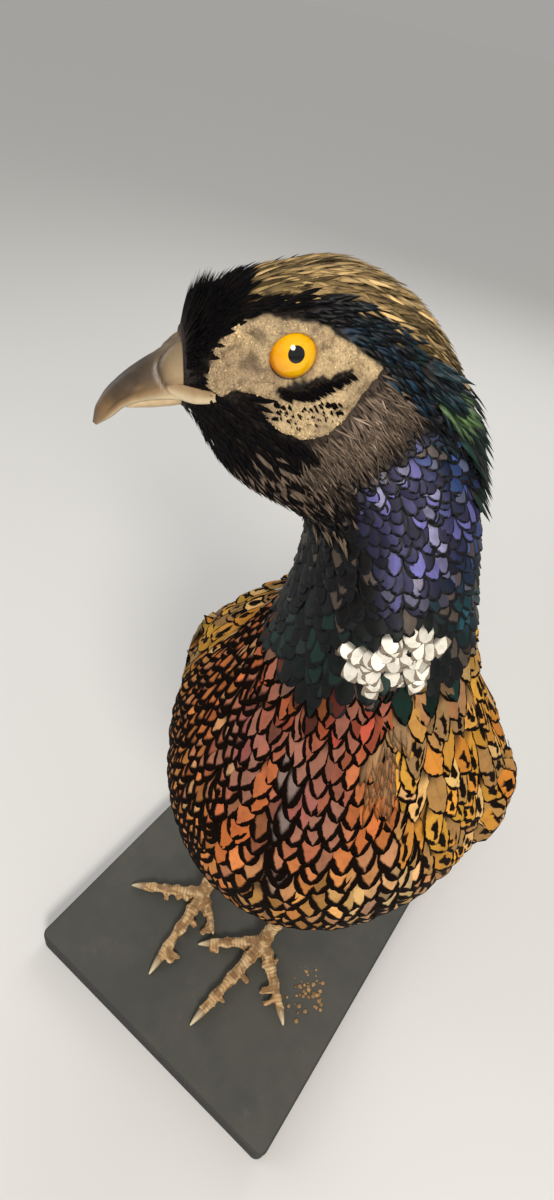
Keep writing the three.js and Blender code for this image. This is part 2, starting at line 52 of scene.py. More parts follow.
# From the tips of the tail coverts (0) to the root of the bill (19), each slice has its back point
# and its belly point as forward and height, its half width, how much wider its back is than its
# belly, and its turn and sideways shift.
SLICES = np.array([
    [-226, 164, -222, 146, 23, 0, 11, 11],
    [-184, 173, -176, 135, 33, 0.04, 10, 11],
    [-150, 188, -138, 115, 46, 0.1, 9, 11],
    [-118, 211, -92, 100, 63, 0.16, 8, 11],
    [-88, 233, -48, 97, 74, 0.2, 8, 11],
    [-68, 251, -6, 107, 79, 0.22, 8, 10],
    [-60, 265, 27, 128, 78.5, 0.2, 8, 10],
    [-57, 276, 49, 165, 72, 0.15, 7, 10],
    [-56, 286, 55, 206, 61.5, 0.08, 5, 11],
    [-55, 295, 42, 244, 49, 0.02, 0, 13],
    [-53, 309, 20, 277, 38.5, 0, -8, 12],
    [-52, 330, 9, 305, 32, 0, -18, 7],
    [-50, 352, 4, 326, 28.5, 0, -28, 1],
    [-46, 375, 3, 338, 27, -0.04, -36, -6],
    [-37, 393, 11, 343, 26, -0.08, -40, -10],
    [-21, 407, 21, 348, 24.5, -0.1, -40, -11],
    [0, 415, 29, 355, 22, -0.1, -40, -12],
    [20, 412, 34, 362, 18.5, -0.1, -40, -12],
    [34, 405, 38, 368, 13.5, -0.08, -40, -12],
    [43, 394, 42, 372, 8.5, 0, -40, -12],
], float)
LAST_SLICE = len(SLICES) - 1
NECK_BASE, HEAD_BASE = 10.5, 13.6
SIDES = (("l", 1), ("r", -1))


def through(rows, place):
    """Values on a smooth curve through listed rows; place 0 is the first row and 1 the next."""
    low = np.minimum(place.astype(int), len(rows) - 2)
    share = (place - low)[..., None]
    ends = np.vstack([2 * rows[0] - rows[1], rows, 2 * rows[-1] - rows[-2]])
    before, start, end, after = (ends[low + i] for i in range(4))
    leave, arrive = (end - before) / 2, (after - start) / 2
    curve = (2 * start - 2 * end + leave + arrive) * share**3
    return curve + ((3 * end - 3 * start - 2 * leave - arrive) * share**2 + leave * share + start)


def slice_at(place):
    """The slice's eight sizes at a place along the body, going straight on past the first slice."""
    place = np.asarray(place, float)
    past = np.minimum(place, 0)[..., None] * (SLICES[1] - SLICES[0])
    return through(SLICES, np.clip(place, 0, LAST_SLICE - 1e-9)) + past


def rounded(value):
    return np.sign(value) * np.abs(value) ** (2 / RIM_SQUARENESS)


def turned(left, forward, height, turn, side):
    """A point of the body, turned about the upright axis through the shoulders, in row order x, y, z."""
    angle = np.radians(turn)
    reach = forward - TURNING_AXIS
    across = left * np.cos(angle) + reach * np.sin(angle) + side
    ahead = TURNING_AXIS + reach * np.cos(angle) - left * np.sin(angle)
    return np.stack(np.broadcast_arrays(across, -ahead, height + BOARD_THICKNESS), -1)


def in_row(points):
    """Points given as left, forward and height, in row order x, y, z."""
    return np.stack([points[..., 0], -points[..., 1], points[..., 2] + BOARD_THICKNESS], -1)


def on_slice(place, angle, grow=0.0):
    """Left, forward and height on the body before its slice is turned. Angle 0 is the back, in degrees."""
    place, angle, grow = np.broadcast_arrays(place, angle, grow)
    back_f, back_h, belly_f, belly_h, half, egg, turn, side = np.moveaxis(slice_at(place), -1, 0)
    around = np.radians(angle)
    middle_f, middle_h = (back_f + belly_f) / 2, (back_h + belly_h) / 2
    rise_f, rise_h = back_f - middle_f, back_h - middle_h
    reach = rounded(np.cos(around)) * (1 + grow / np.hypot(rise_f, rise_h))
    left = (half + grow) * rounded(np.sin(around)) * (1 + egg * np.cos(around))
    return left, middle_f + rise_f * reach, middle_h + rise_h * reach, turn, side


def body(place, angle, grow=0.0):
    """A point on the body, grow millimetres outside its feathered surface."""
    return turned(*on_slice(place, angle, grow))


def on_head(left, forward, height):
    left, forward, height = (np.asarray(x, float) for x in (left, forward, height))
    return turned(left, forward, height, HEAD_TURN, HEAD_SIDE)


def length_of(vectors):
    return np.linalg.norm(vectors, axis=-1)


def smooth(low, high, value):
    """0 below low, 1 above high, and a soft step between; low may be the greater."""
    share = np.clip((np.asarray(value, float) - low) / (high - low), 0, 1)
    return share * share * (3 - 2 * share)


def mix(start, end, share):
    return start + (end - start) * share


def window(value, low, high, soft):
    return smooth(low - soft, low + soft, value) * smooth(high + soft, high - soft, value)


# Large odd numbers that turn a cell's corner into a random-looking number.
HASH_PRIMES = (73856093, 19349663, 83492791)
SEED_PRIME, MIXING_PRIME = 2654435761, 1274126177


def lumps(points, size, seed=0):
    """Soft random relief from -1 to 1 at points in millimetres, with lumps about size across."""
    cell = np.asarray(points, float) / size
    corner = np.floor(cell).astype(np.int64)
    share = cell - corner
    share = share * share * (3 - 2 * share)
    total = np.zeros(cell.shape[:-1])
    for step in np.ndindex(2, 2, 2):
        x, y, z = np.moveaxis((corner + step) * HASH_PRIMES, -1, 0)
        mixed = x ^ y ^ z ^ (seed * SEED_PRIME)
        mixed = (mixed ^ (mixed >> 13)) * MIXING_PRIME
        chance = ((mixed ^ (mixed >> 16)) & 65535) / 32767.5 - 1
        weight = np.where(step, share, 1 - share)
        total += chance * (weight[..., 0] * weight[..., 1]) * weight[..., 2]
    return total


# ---------------------------------------------------------------- regions of the bird

# The bare face, as forward and height on the head's side.
FACE_OUTLINE = [
    (37.5, 383.5), (36.0, 393.5), (31.0, 400.4), (22.8, 404.0), (10.9, 404.4), (1.2, 400.2),
    (-7.9, 395.3), (-2.5, 388.5), (1.0, 381.9), (5.5, 377.0), (12.0, 374.3), (18.0, 376.0),
    (22.8, 379.3), (25.4, 384.4), (30.0, 385.2), (33.5, 381.8),
]
EYE = {"radius": 7.8, "lateral": 13.2, "forward": 16.6, "height": 395.3}
# The lids' relief: how far out the skin stands at each distance from the eye's middle.
LID = [(0, 8), (5.4, 14.6), (6.1, 17.9), (6.7, 19.3), (7.6, 19.9), (9.2, 19.1), (10.4, 19.5)]
EYE_STREAK = [(18.2, 386.8), (12.0, 388.2), (6.0, 391.0), (0.6, 393.9)]
WING_UPPER_EDGE = [(6.7, 70), (6.1, 60), (5, 51), (3.5, 49), (2, 57), (0.75, 72)]
WING_LOWER_EDGE = [(6.7, 76), (6.1, 84), (5, 92), (3.5, 100), (2, 98), (0.75, 84)]
WING = {"front": 6.7, "split": 4.1, "tip": 0.75, "clearance": 0.9, "arm": 3.6, "flight": 2.6}
# Folds of the plumage as place, angle: where the shoulder feathers lie over the breast,
# and the parting on the breast. FOLDS adds each one's depth and width.
SHOULDER_FOLD = [(10.45, 121), (9.89, 129), (9.39, 120), (8.61, 111), (7.8, 105)]
BREAST_PARTING = [(9.65, 180), (9.32, 178.5), (8.9, 176), (8.54, 173)]
FOLDS = [(SHOULDER_FOLD, 3.4, 5.0), (BREAST_PARTING, 1.8, 4.0)]
GREY_STRIP = [(9.5, 174), (8.9, 170), (8.5, 167)]
PLAIN_PATCH = [(9.2, 182), (8.75, 184), (8.55, 191)]
# Rough sizes of the trunk that turn places and angles on it into millimetres.
SLICE_GAP, TRUNK_RADIUS = 15.0, 62
# The face lies ahead of this place and below this angle.
FACE_BACK, FACE_TOP, FAR_FROM_FACE = 13.9, 30, 30.0
# The white collar's edges, as angle, place.
COLLAR_TOP = [(96, 11.16), (127, 11.28), (154, 11.04)]
COLLAR_FOOT = [(96, 10.86), (112, 10.56), (145, 10.62), (157, 10.8)]


def along_edge(edge, place):
    places, angles = zip(*reversed(edge))
    low = np.clip(np.searchsorted(places, place) - 1, 0, len(places) - 2)
    places, angles = np.array(places), np.array(angles, float)
    share = smooth(0, 1, (place - places[low]) / (places[low + 1] - places[low]))
    return mix(angles[low], angles[low + 1], share)


def wing_share(place, angle):
    """How far a point is from the folded wing's upper edge (0) to its lower edge (1)."""
    upper, lower = along_edge(WING_UPPER_EDGE, place), along_edge(WING_LOWER_EDGE, place)
    return (np.abs(angle) - upper) / (lower - upper)


def in_wing(place, angle):
    share = wing_share(place, angle)
    raised = smooth(0, 0.12, share) * smooth(1, 0.9, share) * smooth(WING["tip"], WING["tip"] + 0.4, place)
    return raised * smooth(WING["front"], WING["front"] - 0.3, place)


def off_stretches(across, up, line):
    """Distance of points from a line of straight stretches."""
    nearest = np.inf
    for (x0, y0), (x1, y1) in zip(line, line[1:]):
        step_x, step_y = x1 - x0, y1 - y0
        share = np.clip(((across - x0) * step_x + (up - y0) * step_y) / (step_x**2 + step_y**2), 0, 1)
        nearest = np.minimum(nearest, np.hypot(across - x0 - share * step_x, up - y0 - share * step_y))
    return nearest


def off_line(place, angle, line):
    """Distance in millimetres from a line given as place, angle on the trunk."""
    scale = np.array([SLICE_GAP, math.radians(TRUNK_RADIUS)])
    return off_stretches(place * scale[0], np.mod(angle, 360) * scale[1], np.array(line) * scale)


def outside_face(forward, height):
    """Distance outside the bare face's outline; negative inside it."""
    inside = np.zeros(np.shape(forward), bool)
    corners = FACE_OUTLINE + FACE_OUTLINE[:1]
    for (f0, h0), (f1, h1) in zip(corners, corners[1:]):
        crosses = (h0 > height) != (h1 > height)
        inside ^= crosses & (forward < f0 + (height - h0) * (f1 - f0) / (h1 - h0))
    distance = off_stretches(forward, height, corners)
    return np.where(inside, -distance, distance)


def on_head_only(place, angle, distance):
    """Keeps a distance from the face on the sides of the head, and makes it far elsewhere."""
    return np.where((place > FACE_BACK) & (np.abs(angle) > FACE_TOP), distance, FAR_FROM_FACE)


def face_distance(place, angle):
    _, forward, height, _, _ = on_slice(place, angle)
    return on_head_only(place, angle, outside_face(forward, height))


def off_eye(forward, height):
    return np.hypot(forward - EYE["forward"], height - EYE["height"])


def off_streak(forward, height):
    return off_stretches(forward, height, EYE_STREAK)


def streak_width(forward):
    return mix(0.7, 1.7, smooth(0, 14, forward))


def swell(place, angle):
    """What stands above or below the body's plain surface: the folded wings and the plumage's folds."""
    depth = mix(WING["flight"], WING["arm"], smooth(WING["split"] - 0.6, WING["split"] + 0.6, place))
    raised = in_wing(place, angle) * (WING["clearance"] + depth)
    folds = [deep * np.exp(-((off_line(place, angle, line) / wide) ** 2)) for line, deep, wide in FOLDS]
    return raised - sum(folds)


# ---------------------------------------------------------------- colours

def paint(code):
    """A colour code as linear red, green, blue."""
    value = np.array([int(code[i:i + 2], 16) for i in (1, 3, 5)]) / 255
    return np.where(value <= 0.04045, value / 12.92, ((value + 0.055) / 1.055) ** 2.4)


BLACK = paint("#0b0a0c")
RIM_BLACK = paint("#0e0603")
COPPER = paint("#b96428")
GOLD = paint("#cf9443")
BUFF = paint("#ddb579")
PALE_BUFF = paint("#e2c793")
ROSY_TAN = paint("#a0705a")
MAROON = paint("#8a3226")
PLUM = paint("#865555")
RUST = paint("#c4641f")
MANTLE_GOLD = paint("#c28b36")
SOFT_BROWN = paint("#85694a")
SILVER_BROWN = paint("#7d7570")
TAN = paint("#9a6c38")
VENT_BROWN = paint("#46301f")
STRAW = paint("#cdac76")
OLIVE = paint("#6b5a35")
BOTTLE_GREEN = paint("#14352c")
DEEP_TEAL = paint("#235a66")
INK_BLUE = paint("#27457c")
VIOLET = paint("#57558c")
MAUVE_BROWN = paint("#7c6b5c")
COLLAR_WHITE = paint("#e2ddcf")
FACE_CREAM = paint("#cdb388")
FACE_GREY = paint("#8d775e")
FACE_DARK = paint("#4a3823")
RUMP_COPPER = paint("#7a4a2a")
RUMP_GREEN = paint("#4d5640")
EAR_GREEN = paint("#5d7a4c")


def crown_edge(place):
    """The angle on either side where the streaked crown gives way to the dark brow."""
    return np.interp(place, [13.8, 14.5, 15.2, 16.0, 17.0, 17.5], [34, 38, 41, 40.5, 40, 36])


def shoulder_edge(place, angle):
    """The angle at which the shoulder's feathers give way to the breast's, on that side."""
    left = np.interp(place, [6.2, 7.8, 8.6, 9.4, 9.9, 10.4], [100, 105, 111, 120, 129, 122])
    right = np.interp(place, [6.2, 8.2, 9.4, 10.5], [96, 90, 88, 88])
    return np.where(np.asarray(angle) > 0, left, right)


def neck_boundary(angle):
    """The place where the dark neck ends, low on the front and raised to the white collar's foot."""
    return 10.45 + 0.25 * np.cos(np.radians(np.abs(angle))) + 0.3 * window(angle, 104, 160, 10)


def plumage(place, angle, rng=None):
    """The coat's colour at each place and angle, the same for the skin under it."""
    place, angle = (np.asarray(x, float) for x in np.broadcast_arrays(place, angle))
    around = np.abs(angle)
    if rng is not None:
        place = place + rng.normal(0, 0.07, place.shape)
        around = around + rng.normal(0, 2.0, place.shape)
    left_side = smooth(-20, 20, angle)
    tint = np.broadcast_to(COPPER, place.shape + (3,)).copy()

    def lay(colour, share):
        nonlocal tint
        tint = mix(tint, colour, np.clip(share, 0, 1)[..., None])

    front = smooth(104, 126, around)
    lay(GOLD, smooth(9.2, 7.9, place) * mix(0.4, 0.85, left_side))
    lay(BUFF, window(place, 6.9, 8.5, 0.5) * window(around, 108, 138, 10) * left_side)
    lay(PLUM, window(place, 8.9, 10.0, 0.4) * smooth(132, 152, around) * 0.7)
    lay(MAROON, smooth(9.75, 10.2, place) * front * 0.9)
    lay(RUST, smooth(10.0, 10.3, place) * smooth(-132, -142, angle) * smooth(-172, -162, angle) * 0.8)
    lay(TAN, smooth(7.1, 6.5, place) * smooth(125, 145, around) * 0.8)
    lay(VENT_BROWN, smooth(5.4, 4.2, place) * smooth(128, 150, around))
    upper = smooth(4, -4, around - shoulder_edge(place, angle))
    lay(MANTLE_GOLD, upper * smooth(5.8, 6.6, place))
    lay(SOFT_BROWN, upper * window(place, 9.75, 10.8, 0.3) * window(around, 70, 112, 8) * 0.9)
    lay(TAN, upper * window(place, 4.2, 6.2, 0.5) * 0.9)
    lay(RUMP_COPPER, upper * smooth(4.6, 3.6, place))
    lay(RUMP_GREEN, upper * smooth(3.4, 2.2, place) * 0.7)
    lay(SOFT_BROWN, in_wing(place, around))
    neck = smooth(-0.12, 0.1, place - neck_boundary(angle))
    lay(BLACK, neck)
    lay(BOTTLE_GREEN, neck * smooth(11.9, 11.1, place) * 0.45)
    lay(DEEP_TEAL, neck * window(place, 10.7, 11.9, 0.4) * smooth(98, 74, around))
    lay(VIOLET, neck * window(place, 11.9, 14.4, 0.35) * window(around, 46, 122, 14))
    lay(INK_BLUE, neck * window(place, 12.9, 14.5, 0.3) * window(around, 44, 74, 8) * 0.9)
    lay(INK_BLUE, neck * window(place, 11.7, 12.3, 0.3) * smooth(98, 84, around) * 0.8)
    head = smooth(13.3, 13.9, place - 0.6 * window(around, 50, 118, 8))
    lay(BLACK, head)
    lay(MAUVE_BROWN, window(place, 14.4, 15.2, 0.3) * window(around, 62, 118, 10) * 0.9)
    lay(BOTTLE_GREEN, window(place, 13.6, 16.4, 0.4) * window(around, 38, 58, 8) * 0.5)
    edge = crown_edge(place)
    crown = smooth(13.2, 13.8, place) * smooth(17.75, 17.3, place) * smooth(edge + 5, edge - 5, around)
    lay(mix(OLIVE, STRAW, 0.45), crown)
    return tint


# ---------------------------------------------------------------- meshes

def new_piece(name, points, faces, material):
    """A smooth piece from points in millimetres and groups of corner numbers, riding on the mount."""
    mesh = bpy.data.meshes.new(name)
    corners = np.concatenate([group.ravel() for group in faces])
    sizes = np.concatenate([np.full(len(group), group.shape[1]) for group in faces])
    mesh.vertices.add(len(points))
    mesh.vertices.foreach_set("co", (points * MM).astype(np.float32).ravel())
    mesh.loops.add(len(corners))
    mesh.loops.foreach_set("vertex_index", corners.astype(np.int32))
    mesh.polygons.add(len(sizes))
    starts = np.concatenate([[0], np.cumsum(sizes)[:-1]])
    mesh.polygons.foreach_set("loop_start", starts.astype(np.int32))
    mesh.update(calc_edges=True)
    mesh.validate()
    mesh.polygons.foreach_set("use_smooth", np.ones(len(mesh.polygons), bool))
    mesh.materials.append(material)
    piece = bpy.data.objects.new(name, mesh)
    bpy.context.scene.collection.objects.link(piece)
    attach(piece, "root")
    return piece


def paint_points(piece, name, colours):
    """Stores one colour or three measures for each point."""
    colours = np.asarray(colours, float).reshape(-1, 3)
    layer = piece.data.color_attributes.new(name, "FLOAT_COLOR", "POINT")
    rgba = np.concatenate([colours, np.ones((len(colours), 1))], 1)
    layer.data.foreach_set("color", rgba.astype(np.float32).ravel())


def map_points(piece, name, coordinates):
    """A UV map from one pair of coordinates for each point."""
    layer = piece.data.uv_layers.new(name=name)
    corners = np.zeros(len(piece.data.loops), np.int32)
    piece.data.loops.foreach_get("vertex_index", corners)
    layer.data.foreach_set("uv", np.asarray(coordinates, np.float32)[corners].ravel())


def sharpen(piece, chosen):
    """Marks as sharp each edge whose two points are both of one chosen kind (1 or 2; 0 is none)."""
    ends = np.zeros(len(piece.data.edges) * 2, np.int32)
    piece.data.edges.foreach_get("vertices", ends)
    kinds = chosen[ends].reshape(-1, 2)
    layer = piece.data.attributes.new("sharp_edge", "BOOLEAN", "EDGE")
    layer.data.foreach_set("value", (kinds[:, 0] == kinds[:, 1]) & (kinds[:, 0] > 0))


def tube_faces(rows, columns):
    """Faces of a closed tube of rings, with a fan at each end to the points that tube_points adds."""
    ring = np.arange(columns)
    after = (ring + 1) % columns
    sides = []
    for row in range(rows - 1):
        low, high = row * columns, (row + 1) * columns
        sides.append(np.stack([low + ring, low + after, high + after, high + ring], 1))
    first, last = rows * columns, rows * columns + 1
    start = np.stack([after, ring, np.full(columns, first)], 1)
    high = (rows - 1) * columns
    end = np.stack([high + ring, high + after, np.full(columns, last)], 1)
    return [np.concatenate(sides), np.concatenate([start, end])]


def tube_points(rings):
    """Points of a tube from its rings, with the two end points."""
    ends = np.stack([rings[0].mean(0), rings[-1].mean(0)])
    return np.concatenate([rings.reshape(-1, 3), ends])


def point_outwards(piece):
    work = bmesh.new()
    work.from_mesh(piece.data)
    bmesh.ops.recalc_face_normals(work, faces=work.faces)
    work.to_mesh(piece.data)
    work.free()


def tube_piece(name, rings, material, tint=None, ends=None):
    """A closed tube from rings of points, painted with a colour for each of them and for its two ends."""
    piece = new_piece(name, tube_points(rings), tube_faces(*rings.shape[:2]), material)
    point_outwards(piece)
    if tint is not None:
        paint_points(piece, "tint", np.concatenate([tint, tint[:2] if ends is None else ends]))
    return piece


def curve_points(points, count):
    """A smooth curve of so many stations through points."""
    return through(np.array(points, float), np.linspace(0, len(points) - 1, count))


def tube_round(line, radii, columns, flatten=1.0):
    """Rings about a line; flatten is each ring's height over its width."""
    line = np.asarray(line, float)
    along = np.gradient(line, axis=0)
    along /= length_of(along)[:, None]
    side = np.cross(along, [0, 0, 1])
    weak = length_of(side) < 0.05
    side[weak] = np.cross(along[weak], [0, 1, 0])
    side /= length_of(side)[:, None]
    up = np.cross(side, along)
    around = np.linspace(0, 2 * math.pi, columns, endpoint=False)
    radii = np.broadcast_to(np.asarray(radii, float), (len(line),))[:, None, None]
    ring = side[:, None] * np.cos(around)[:, None] + up[:, None] * (np.sin(around)[:, None] * flatten)
    return line[:, None] + ring * radii


# ---------------------------------------------------------------- finishes

def add(tree, kind, inputs=None, **settings):
    node = tree.nodes.new(kind)
    for key, value in settings.items():
        setattr(node, key, value)
    for key, value in (inputs or {}).items():
        if isinstance(value, bpy.types.NodeSocket):
            tree.links.new(value, node.inputs[key])
        else:
            node.inputs[key].default_value = value
    return node


def calc(tree, operation, *values):
    return add(tree, "ShaderNodeMath", dict(enumerate(values)), operation=operation).outputs[0]


def times(tree, share, *others):
    for other in others:
        share = calc(tree, "MULTIPLY", share, other)
    return share


def step(tree, value, low, high):
    """0 below low, 1 above high, and a soft step between; low may be the greater."""
    inputs = {"Value": value, "From Min": low, "From Max": high}
    return add(tree, "ShaderNodeMapRange", inputs, interpolation_type="SMOOTHSTEP").outputs[0]


def blended(tree, share, first, second):
    def colour(value):
        return value if isinstance(value, bpy.types.NodeSocket) else (*value, 1)
    inputs = {0: share, 6: colour(first), 7: colour(second)}
    return add(tree, "ShaderNodeMix", inputs, data_type="RGBA").outputs[2]


def noise(tree, scale, detail, roughness=0.55):
    where = add(tree, "ShaderNodeTexCoord").outputs["Object"]
    inputs = {"Vector": where, "Scale": scale, "Detail": detail, "Roughness": roughness}
    return add(tree, "ShaderNodeTexNoise", inputs).outputs[0]


def new_group(name, inputs, outputs):
    """An empty shader group: its tree, inputs and outputs. Inputs are numbers, or None for a vector."""
    group = bpy.data.node_groups.new(name, "ShaderNodeTree")
    for label, default in inputs.items():
        kind = "NodeSocketVector" if default is None else "NodeSocketFloat"
        socket = group.interface.new_socket(label, in_out="INPUT", socket_type=kind)
        if default is not None:
            socket.default_value = default
    for label in outputs:
        group.interface.new_socket(label, in_out="OUTPUT", socket_type="NodeSocketFloat")
    return group, group.nodes.new("NodeGroupInput").outputs, group.nodes.new("NodeGroupOutput").inputs


def make_vane_group():
    """A feather's own pattern, from its vane map: its dark rim, its shaft and its barbs. Point is 2 for a
    rim that follows a round tip and 1 for one that leaves a pointed centre."""
    inputs = {"Vane": None, "Rim": 0.2, "Roundness": 2.0, "Point": 2.0}
    labels = ("Rim", "Shaft", "Barbs", "Along", "Across")
    tree, given, out = new_group("feather_vane", inputs, labels)
    parts = add(tree, "ShaderNodeSeparateXYZ", {0: given["Vane"]}).outputs
    along = parts["Y"]
    across = calc(tree, "ABSOLUTE", calc(tree, "MULTIPLY_ADD", parts["X"], 2.0, -1.0))
    rest = times(tree, calc(tree, "SUBTRACT", 1.0, along), given["Roundness"])
    tip = calc(tree, "MAXIMUM", calc(tree, "SUBTRACT", 1.0, rest), 0.0)
    powers = [calc(tree, "POWER", value, given["Point"]) for value in (across, tip)]
    reach = calc(tree, "POWER", calc(tree, "ADD", *powers), calc(tree, "DIVIDE", 1.0, given["Point"]))
    wavy = calc(tree, "MULTIPLY_ADD", noise(tree, 300.0, 1.0), 0.36, -0.18)
    frayed = calc(tree, "MULTIPLY_ADD", noise(tree, 1500.0, 1.0), 0.12, -0.06)
    inward = calc(tree, "ADD", calc(tree, "SUBTRACT", 1.0, reach), calc(tree, "ADD", wavy, frayed))
    inner_edge = calc(tree, "MULTIPLY_ADD", given["Rim"], 1.4, 0.001)
    rim = step(tree, inward, inner_edge, times(tree, given["Rim"], 0.5))
    shaft = step(tree, across, 0.1, 0.03)
    slant = calc(tree, "MULTIPLY_ADD", across, -0.35, along)
    barbs = calc(tree, "SINE", times(tree, slant, BARBS * 2 * math.pi))
    for label, value in zip(labels, (rim, shaft, barbs, along, across)):
        tree.links.new(value, out[label])
    return tree


def make_grain_group():
    """Fine grain with larger blotches, for bare skin, horn, leg scales and the board's paint."""
    tree, given, out = new_group("grain", {"Fine": 900.0, "Blotch": 120.0}, ("Grain", "Blotches", "Relief"))
    grain = noise(tree, given["Fine"], 5.0, 0.65)
    blotches = noise(tree, given["Blotch"], 4.0, 0.6)
    tree.links.new(grain, out["Grain"])
    tree.links.new(step(tree, blotches, 0.38, 0.66), out["Blotches"])
    tree.links.new(calc(tree, "MULTIPLY_ADD", blotches, 0.6, grain), out["Relief"])
    return tree


BARBS = 30
VANE = make_vane_group()
GRAIN = make_grain_group()


def new_finish(name, **sockets):
    """A material, its tree and its surface shader, whose plain values are set on its own sockets."""
    material = bpy.data.materials.new(name)
    material.use_nodes = True
    tree = material.node_tree
    shader = tree.nodes["Principled BSDF"]
    for key, value in sockets.items():
        shader.inputs[key.replace("_", " ")].default_value = value
    return material, tree, shader


def bump(tree, shader, height, strength, distance):
    inputs = {"Height": height, "Strength": strength, "Distance": distance}
    tree.links.new(add(tree, "ShaderNodeBump", inputs).outputs[0], shader.inputs["Normal"])


def attribute(tree, name):
    return add(tree, "ShaderNodeAttribute", attribute_name=name).outputs["Color"]


def group_outputs(tree, group, **inputs):
    node = tree.nodes.new("ShaderNodeGroup")
    node.node_tree = group
    for key, value in inputs.items():
        if isinstance(value, bpy.types.NodeSocket):
            tree.links.new(value, node.inputs[key])
        else:
            node.inputs[key].default_value = value
    return node.outputs


def worn_finish(name, fine, blotch, wear, dirt, grain_in_gloss, relief, **sockets):
    """Tinted horn or dried skin, mixed with dirt in blotches: wear is the blotches' share and the dirt's in
    them, grain_in_gloss the roughness's spread and least value, and relief its strength and depth."""
    material, tree, shader = new_finish(name, **sockets)
    grain = group_outputs(tree, GRAIN, Fine=fine, Blotch=blotch)
    tint = attribute(tree, "tint")
    worn = blended(tree, wear[1], tint, dirt)
    colour = blended(tree, times(tree, grain["Blotches"], wear[0]), tint, worn)
    tree.links.new(colour, shader.inputs["Base Color"])
    tree.links.new(calc(tree, "MULTIPLY_ADD", grain["Grain"], *grain_in_gloss), shader.inputs["Roughness"])
    bump(tree, shader, grain["Relief"], *relief)
    return material


def feather_finish(name, rim_colour, roundness=2.0, point=2.0, spot=None, bars=None, gloss=0.0, fringe=None,
                   rough=0.7, shine=0.1):
    """A feather's finish: its own tint, darkened at the rim by the marks' red, down the shaft by their green
    and, by their blue, in a spot (half width, start, end) or in bars (their number and slant)."""
    material, tree, shader = new_finish(name, Metallic=gloss, Specular_IOR_Level=shine)
    marks = add(tree, "ShaderNodeSeparateColor", {0: attribute(tree, "marks")}).outputs
    where = add(tree, "ShaderNodeUVMap", uv_map="vane").outputs[0]
    vane = group_outputs(tree, VANE, Vane=where, Rim=marks["Red"], Roundness=roundness, Point=point)
    along, across = vane["Along"], vane["Across"]
    tint = attribute(tree, "tint")
    streaks = noise(tree, 260.0, 3.0)
    shade = blended(tree, 0.5, tint, (0.02, 0.012, 0.008))
    colour = blended(tree, times(tree, step(tree, streaks, 0.42, 0.7), 0.4), tint, shade)
    if fringe is not None:
        colour = blended(tree, times(tree, step(tree, across, 0.55, 0.8), 0.8), colour, fringe)
    if spot is not None:
        wide, low, high = spot
        uneven = calc(tree, "MULTIPLY_ADD", noise(tree, 190.0, 2.0), 1.3, -0.65)
        inside = step(tree, calc(tree, "ADD", across, uneven), wide + 0.06, wide - 0.06)
        lengthways = times(tree, step(tree, along, low, low + 0.06), step(tree, along, high, high - 0.05))
        colour = blended(tree, times(tree, inside, lengthways, marks["Blue"]), colour, rim_colour)
    if bars is not None:
        number, slant = bars
        uneven = calc(tree, "MULTIPLY_ADD", noise(tree, 90.0, 2.0), 0.03, along)
        turns = calc(tree, "MULTIPLY_ADD", across, slant, times(tree, uneven, number))
        wave = calc(tree, "SINE", times(tree, turns, 2 * math.pi))
        colour = blended(tree, times(tree, step(tree, wave, 0.35, 0.7), marks["Blue"]), colour, rim_colour)
    colour = blended(tree, times(tree, vane["Shaft"], marks["Green"]), colour, rim_colour)
    colour = blended(tree, vane["Rim"], colour, rim_colour)
    # Each feather's root half is painted dark: painted shade where the feathers above cover it.
    covered_root_shade = step(tree, along, 0.4, 0.1)
    colour = blended(tree, times(tree, covered_root_shade, 0.8), colour, (0.03, 0.022, 0.018))
    tree.links.new(colour, shader.inputs["Base Color"])
    tree.links.new(calc(tree, "MULTIPLY_ADD", streaks, 0.3, rough - 0.15), shader.inputs["Roughness"])
    bump(tree, shader, vane["Barbs"], 0.12, 0.0001)
    return material


# ---------------------------------------------------------------- skin

COAT_DEPTH = {"trunk": 4.6, "neck": 3.2, "head": 1.7}
SKIN_COLUMNS = 208


def coat_depth(place, angle):
    depth = mix(COAT_DEPTH["trunk"], COAT_DEPTH["neck"], smooth(NECK_BASE - 0.8, NECK_BASE + 0.6, place))
    depth = mix(depth, COAT_DEPTH["head"], smooth(HEAD_BASE - 0.6, HEAD_BASE + 0.8, place))
    bare = smooth(1.5, -0.8, face_distance(place, angle))
    depth = mix(depth, 0.5, bare)
    return mix(depth, 0.4, smooth(18.3, 19, place))


def skin(place, angle):
    """A point of the skin, in the row's order, with the face's folds, lids and rims."""
    place, angle = (np.asarray(x, float) for x in np.broadcast_arrays(place, angle))
    grow = -coat_depth(place, angle) + swell(place, angle)
    left, forward, height, turn, side = on_slice(place, angle, grow)
    distance = on_head_only(place, angle, outside_face(forward, height))
    bare = smooth(0.6, -0.8, distance)
    where = np.stack([left, forward, height], -1)
    folds = 0.55 * lumps(where, 1.5, 3) + 0.75 * lumps(where, 3.4, 7) + 0.25 * lumps(where, 0.8, 5)
    rim = 0.9 * np.exp(-(((distance + 1.4) / 1.3) ** 2))
    lores = -0.9 * np.exp(-(((forward - 27) / 4.5) ** 2) - (((height - 393) / 5) ** 2))
    under_eye = -1.0 * np.exp(-((off_streak(forward, height) / 2.0) ** 2))
    cheek = 1.2 * np.exp(-(((forward - 12) / 8) ** 2) - (((height - 381) / 4.5) ** 2))
    out = bare * (folds + rim + lores + under_eye + cheek)
    left = left + np.sign(left) * out
    from_eye = off_eye(forward, height)
    lid = np.interp(from_eye, *zip(*LID)) + 0.25 * lumps(where, 1.1, 9) * smooth(6.3, 7, from_eye)
    held = smooth(11.2, 9.0, from_eye) * smooth(0.2, -1.6, distance) * (place > 14)
    left = np.where(held > 0, np.sign(left) * mix(np.abs(left), lid, held), left)
    return turned(left, forward, height, turn, side)


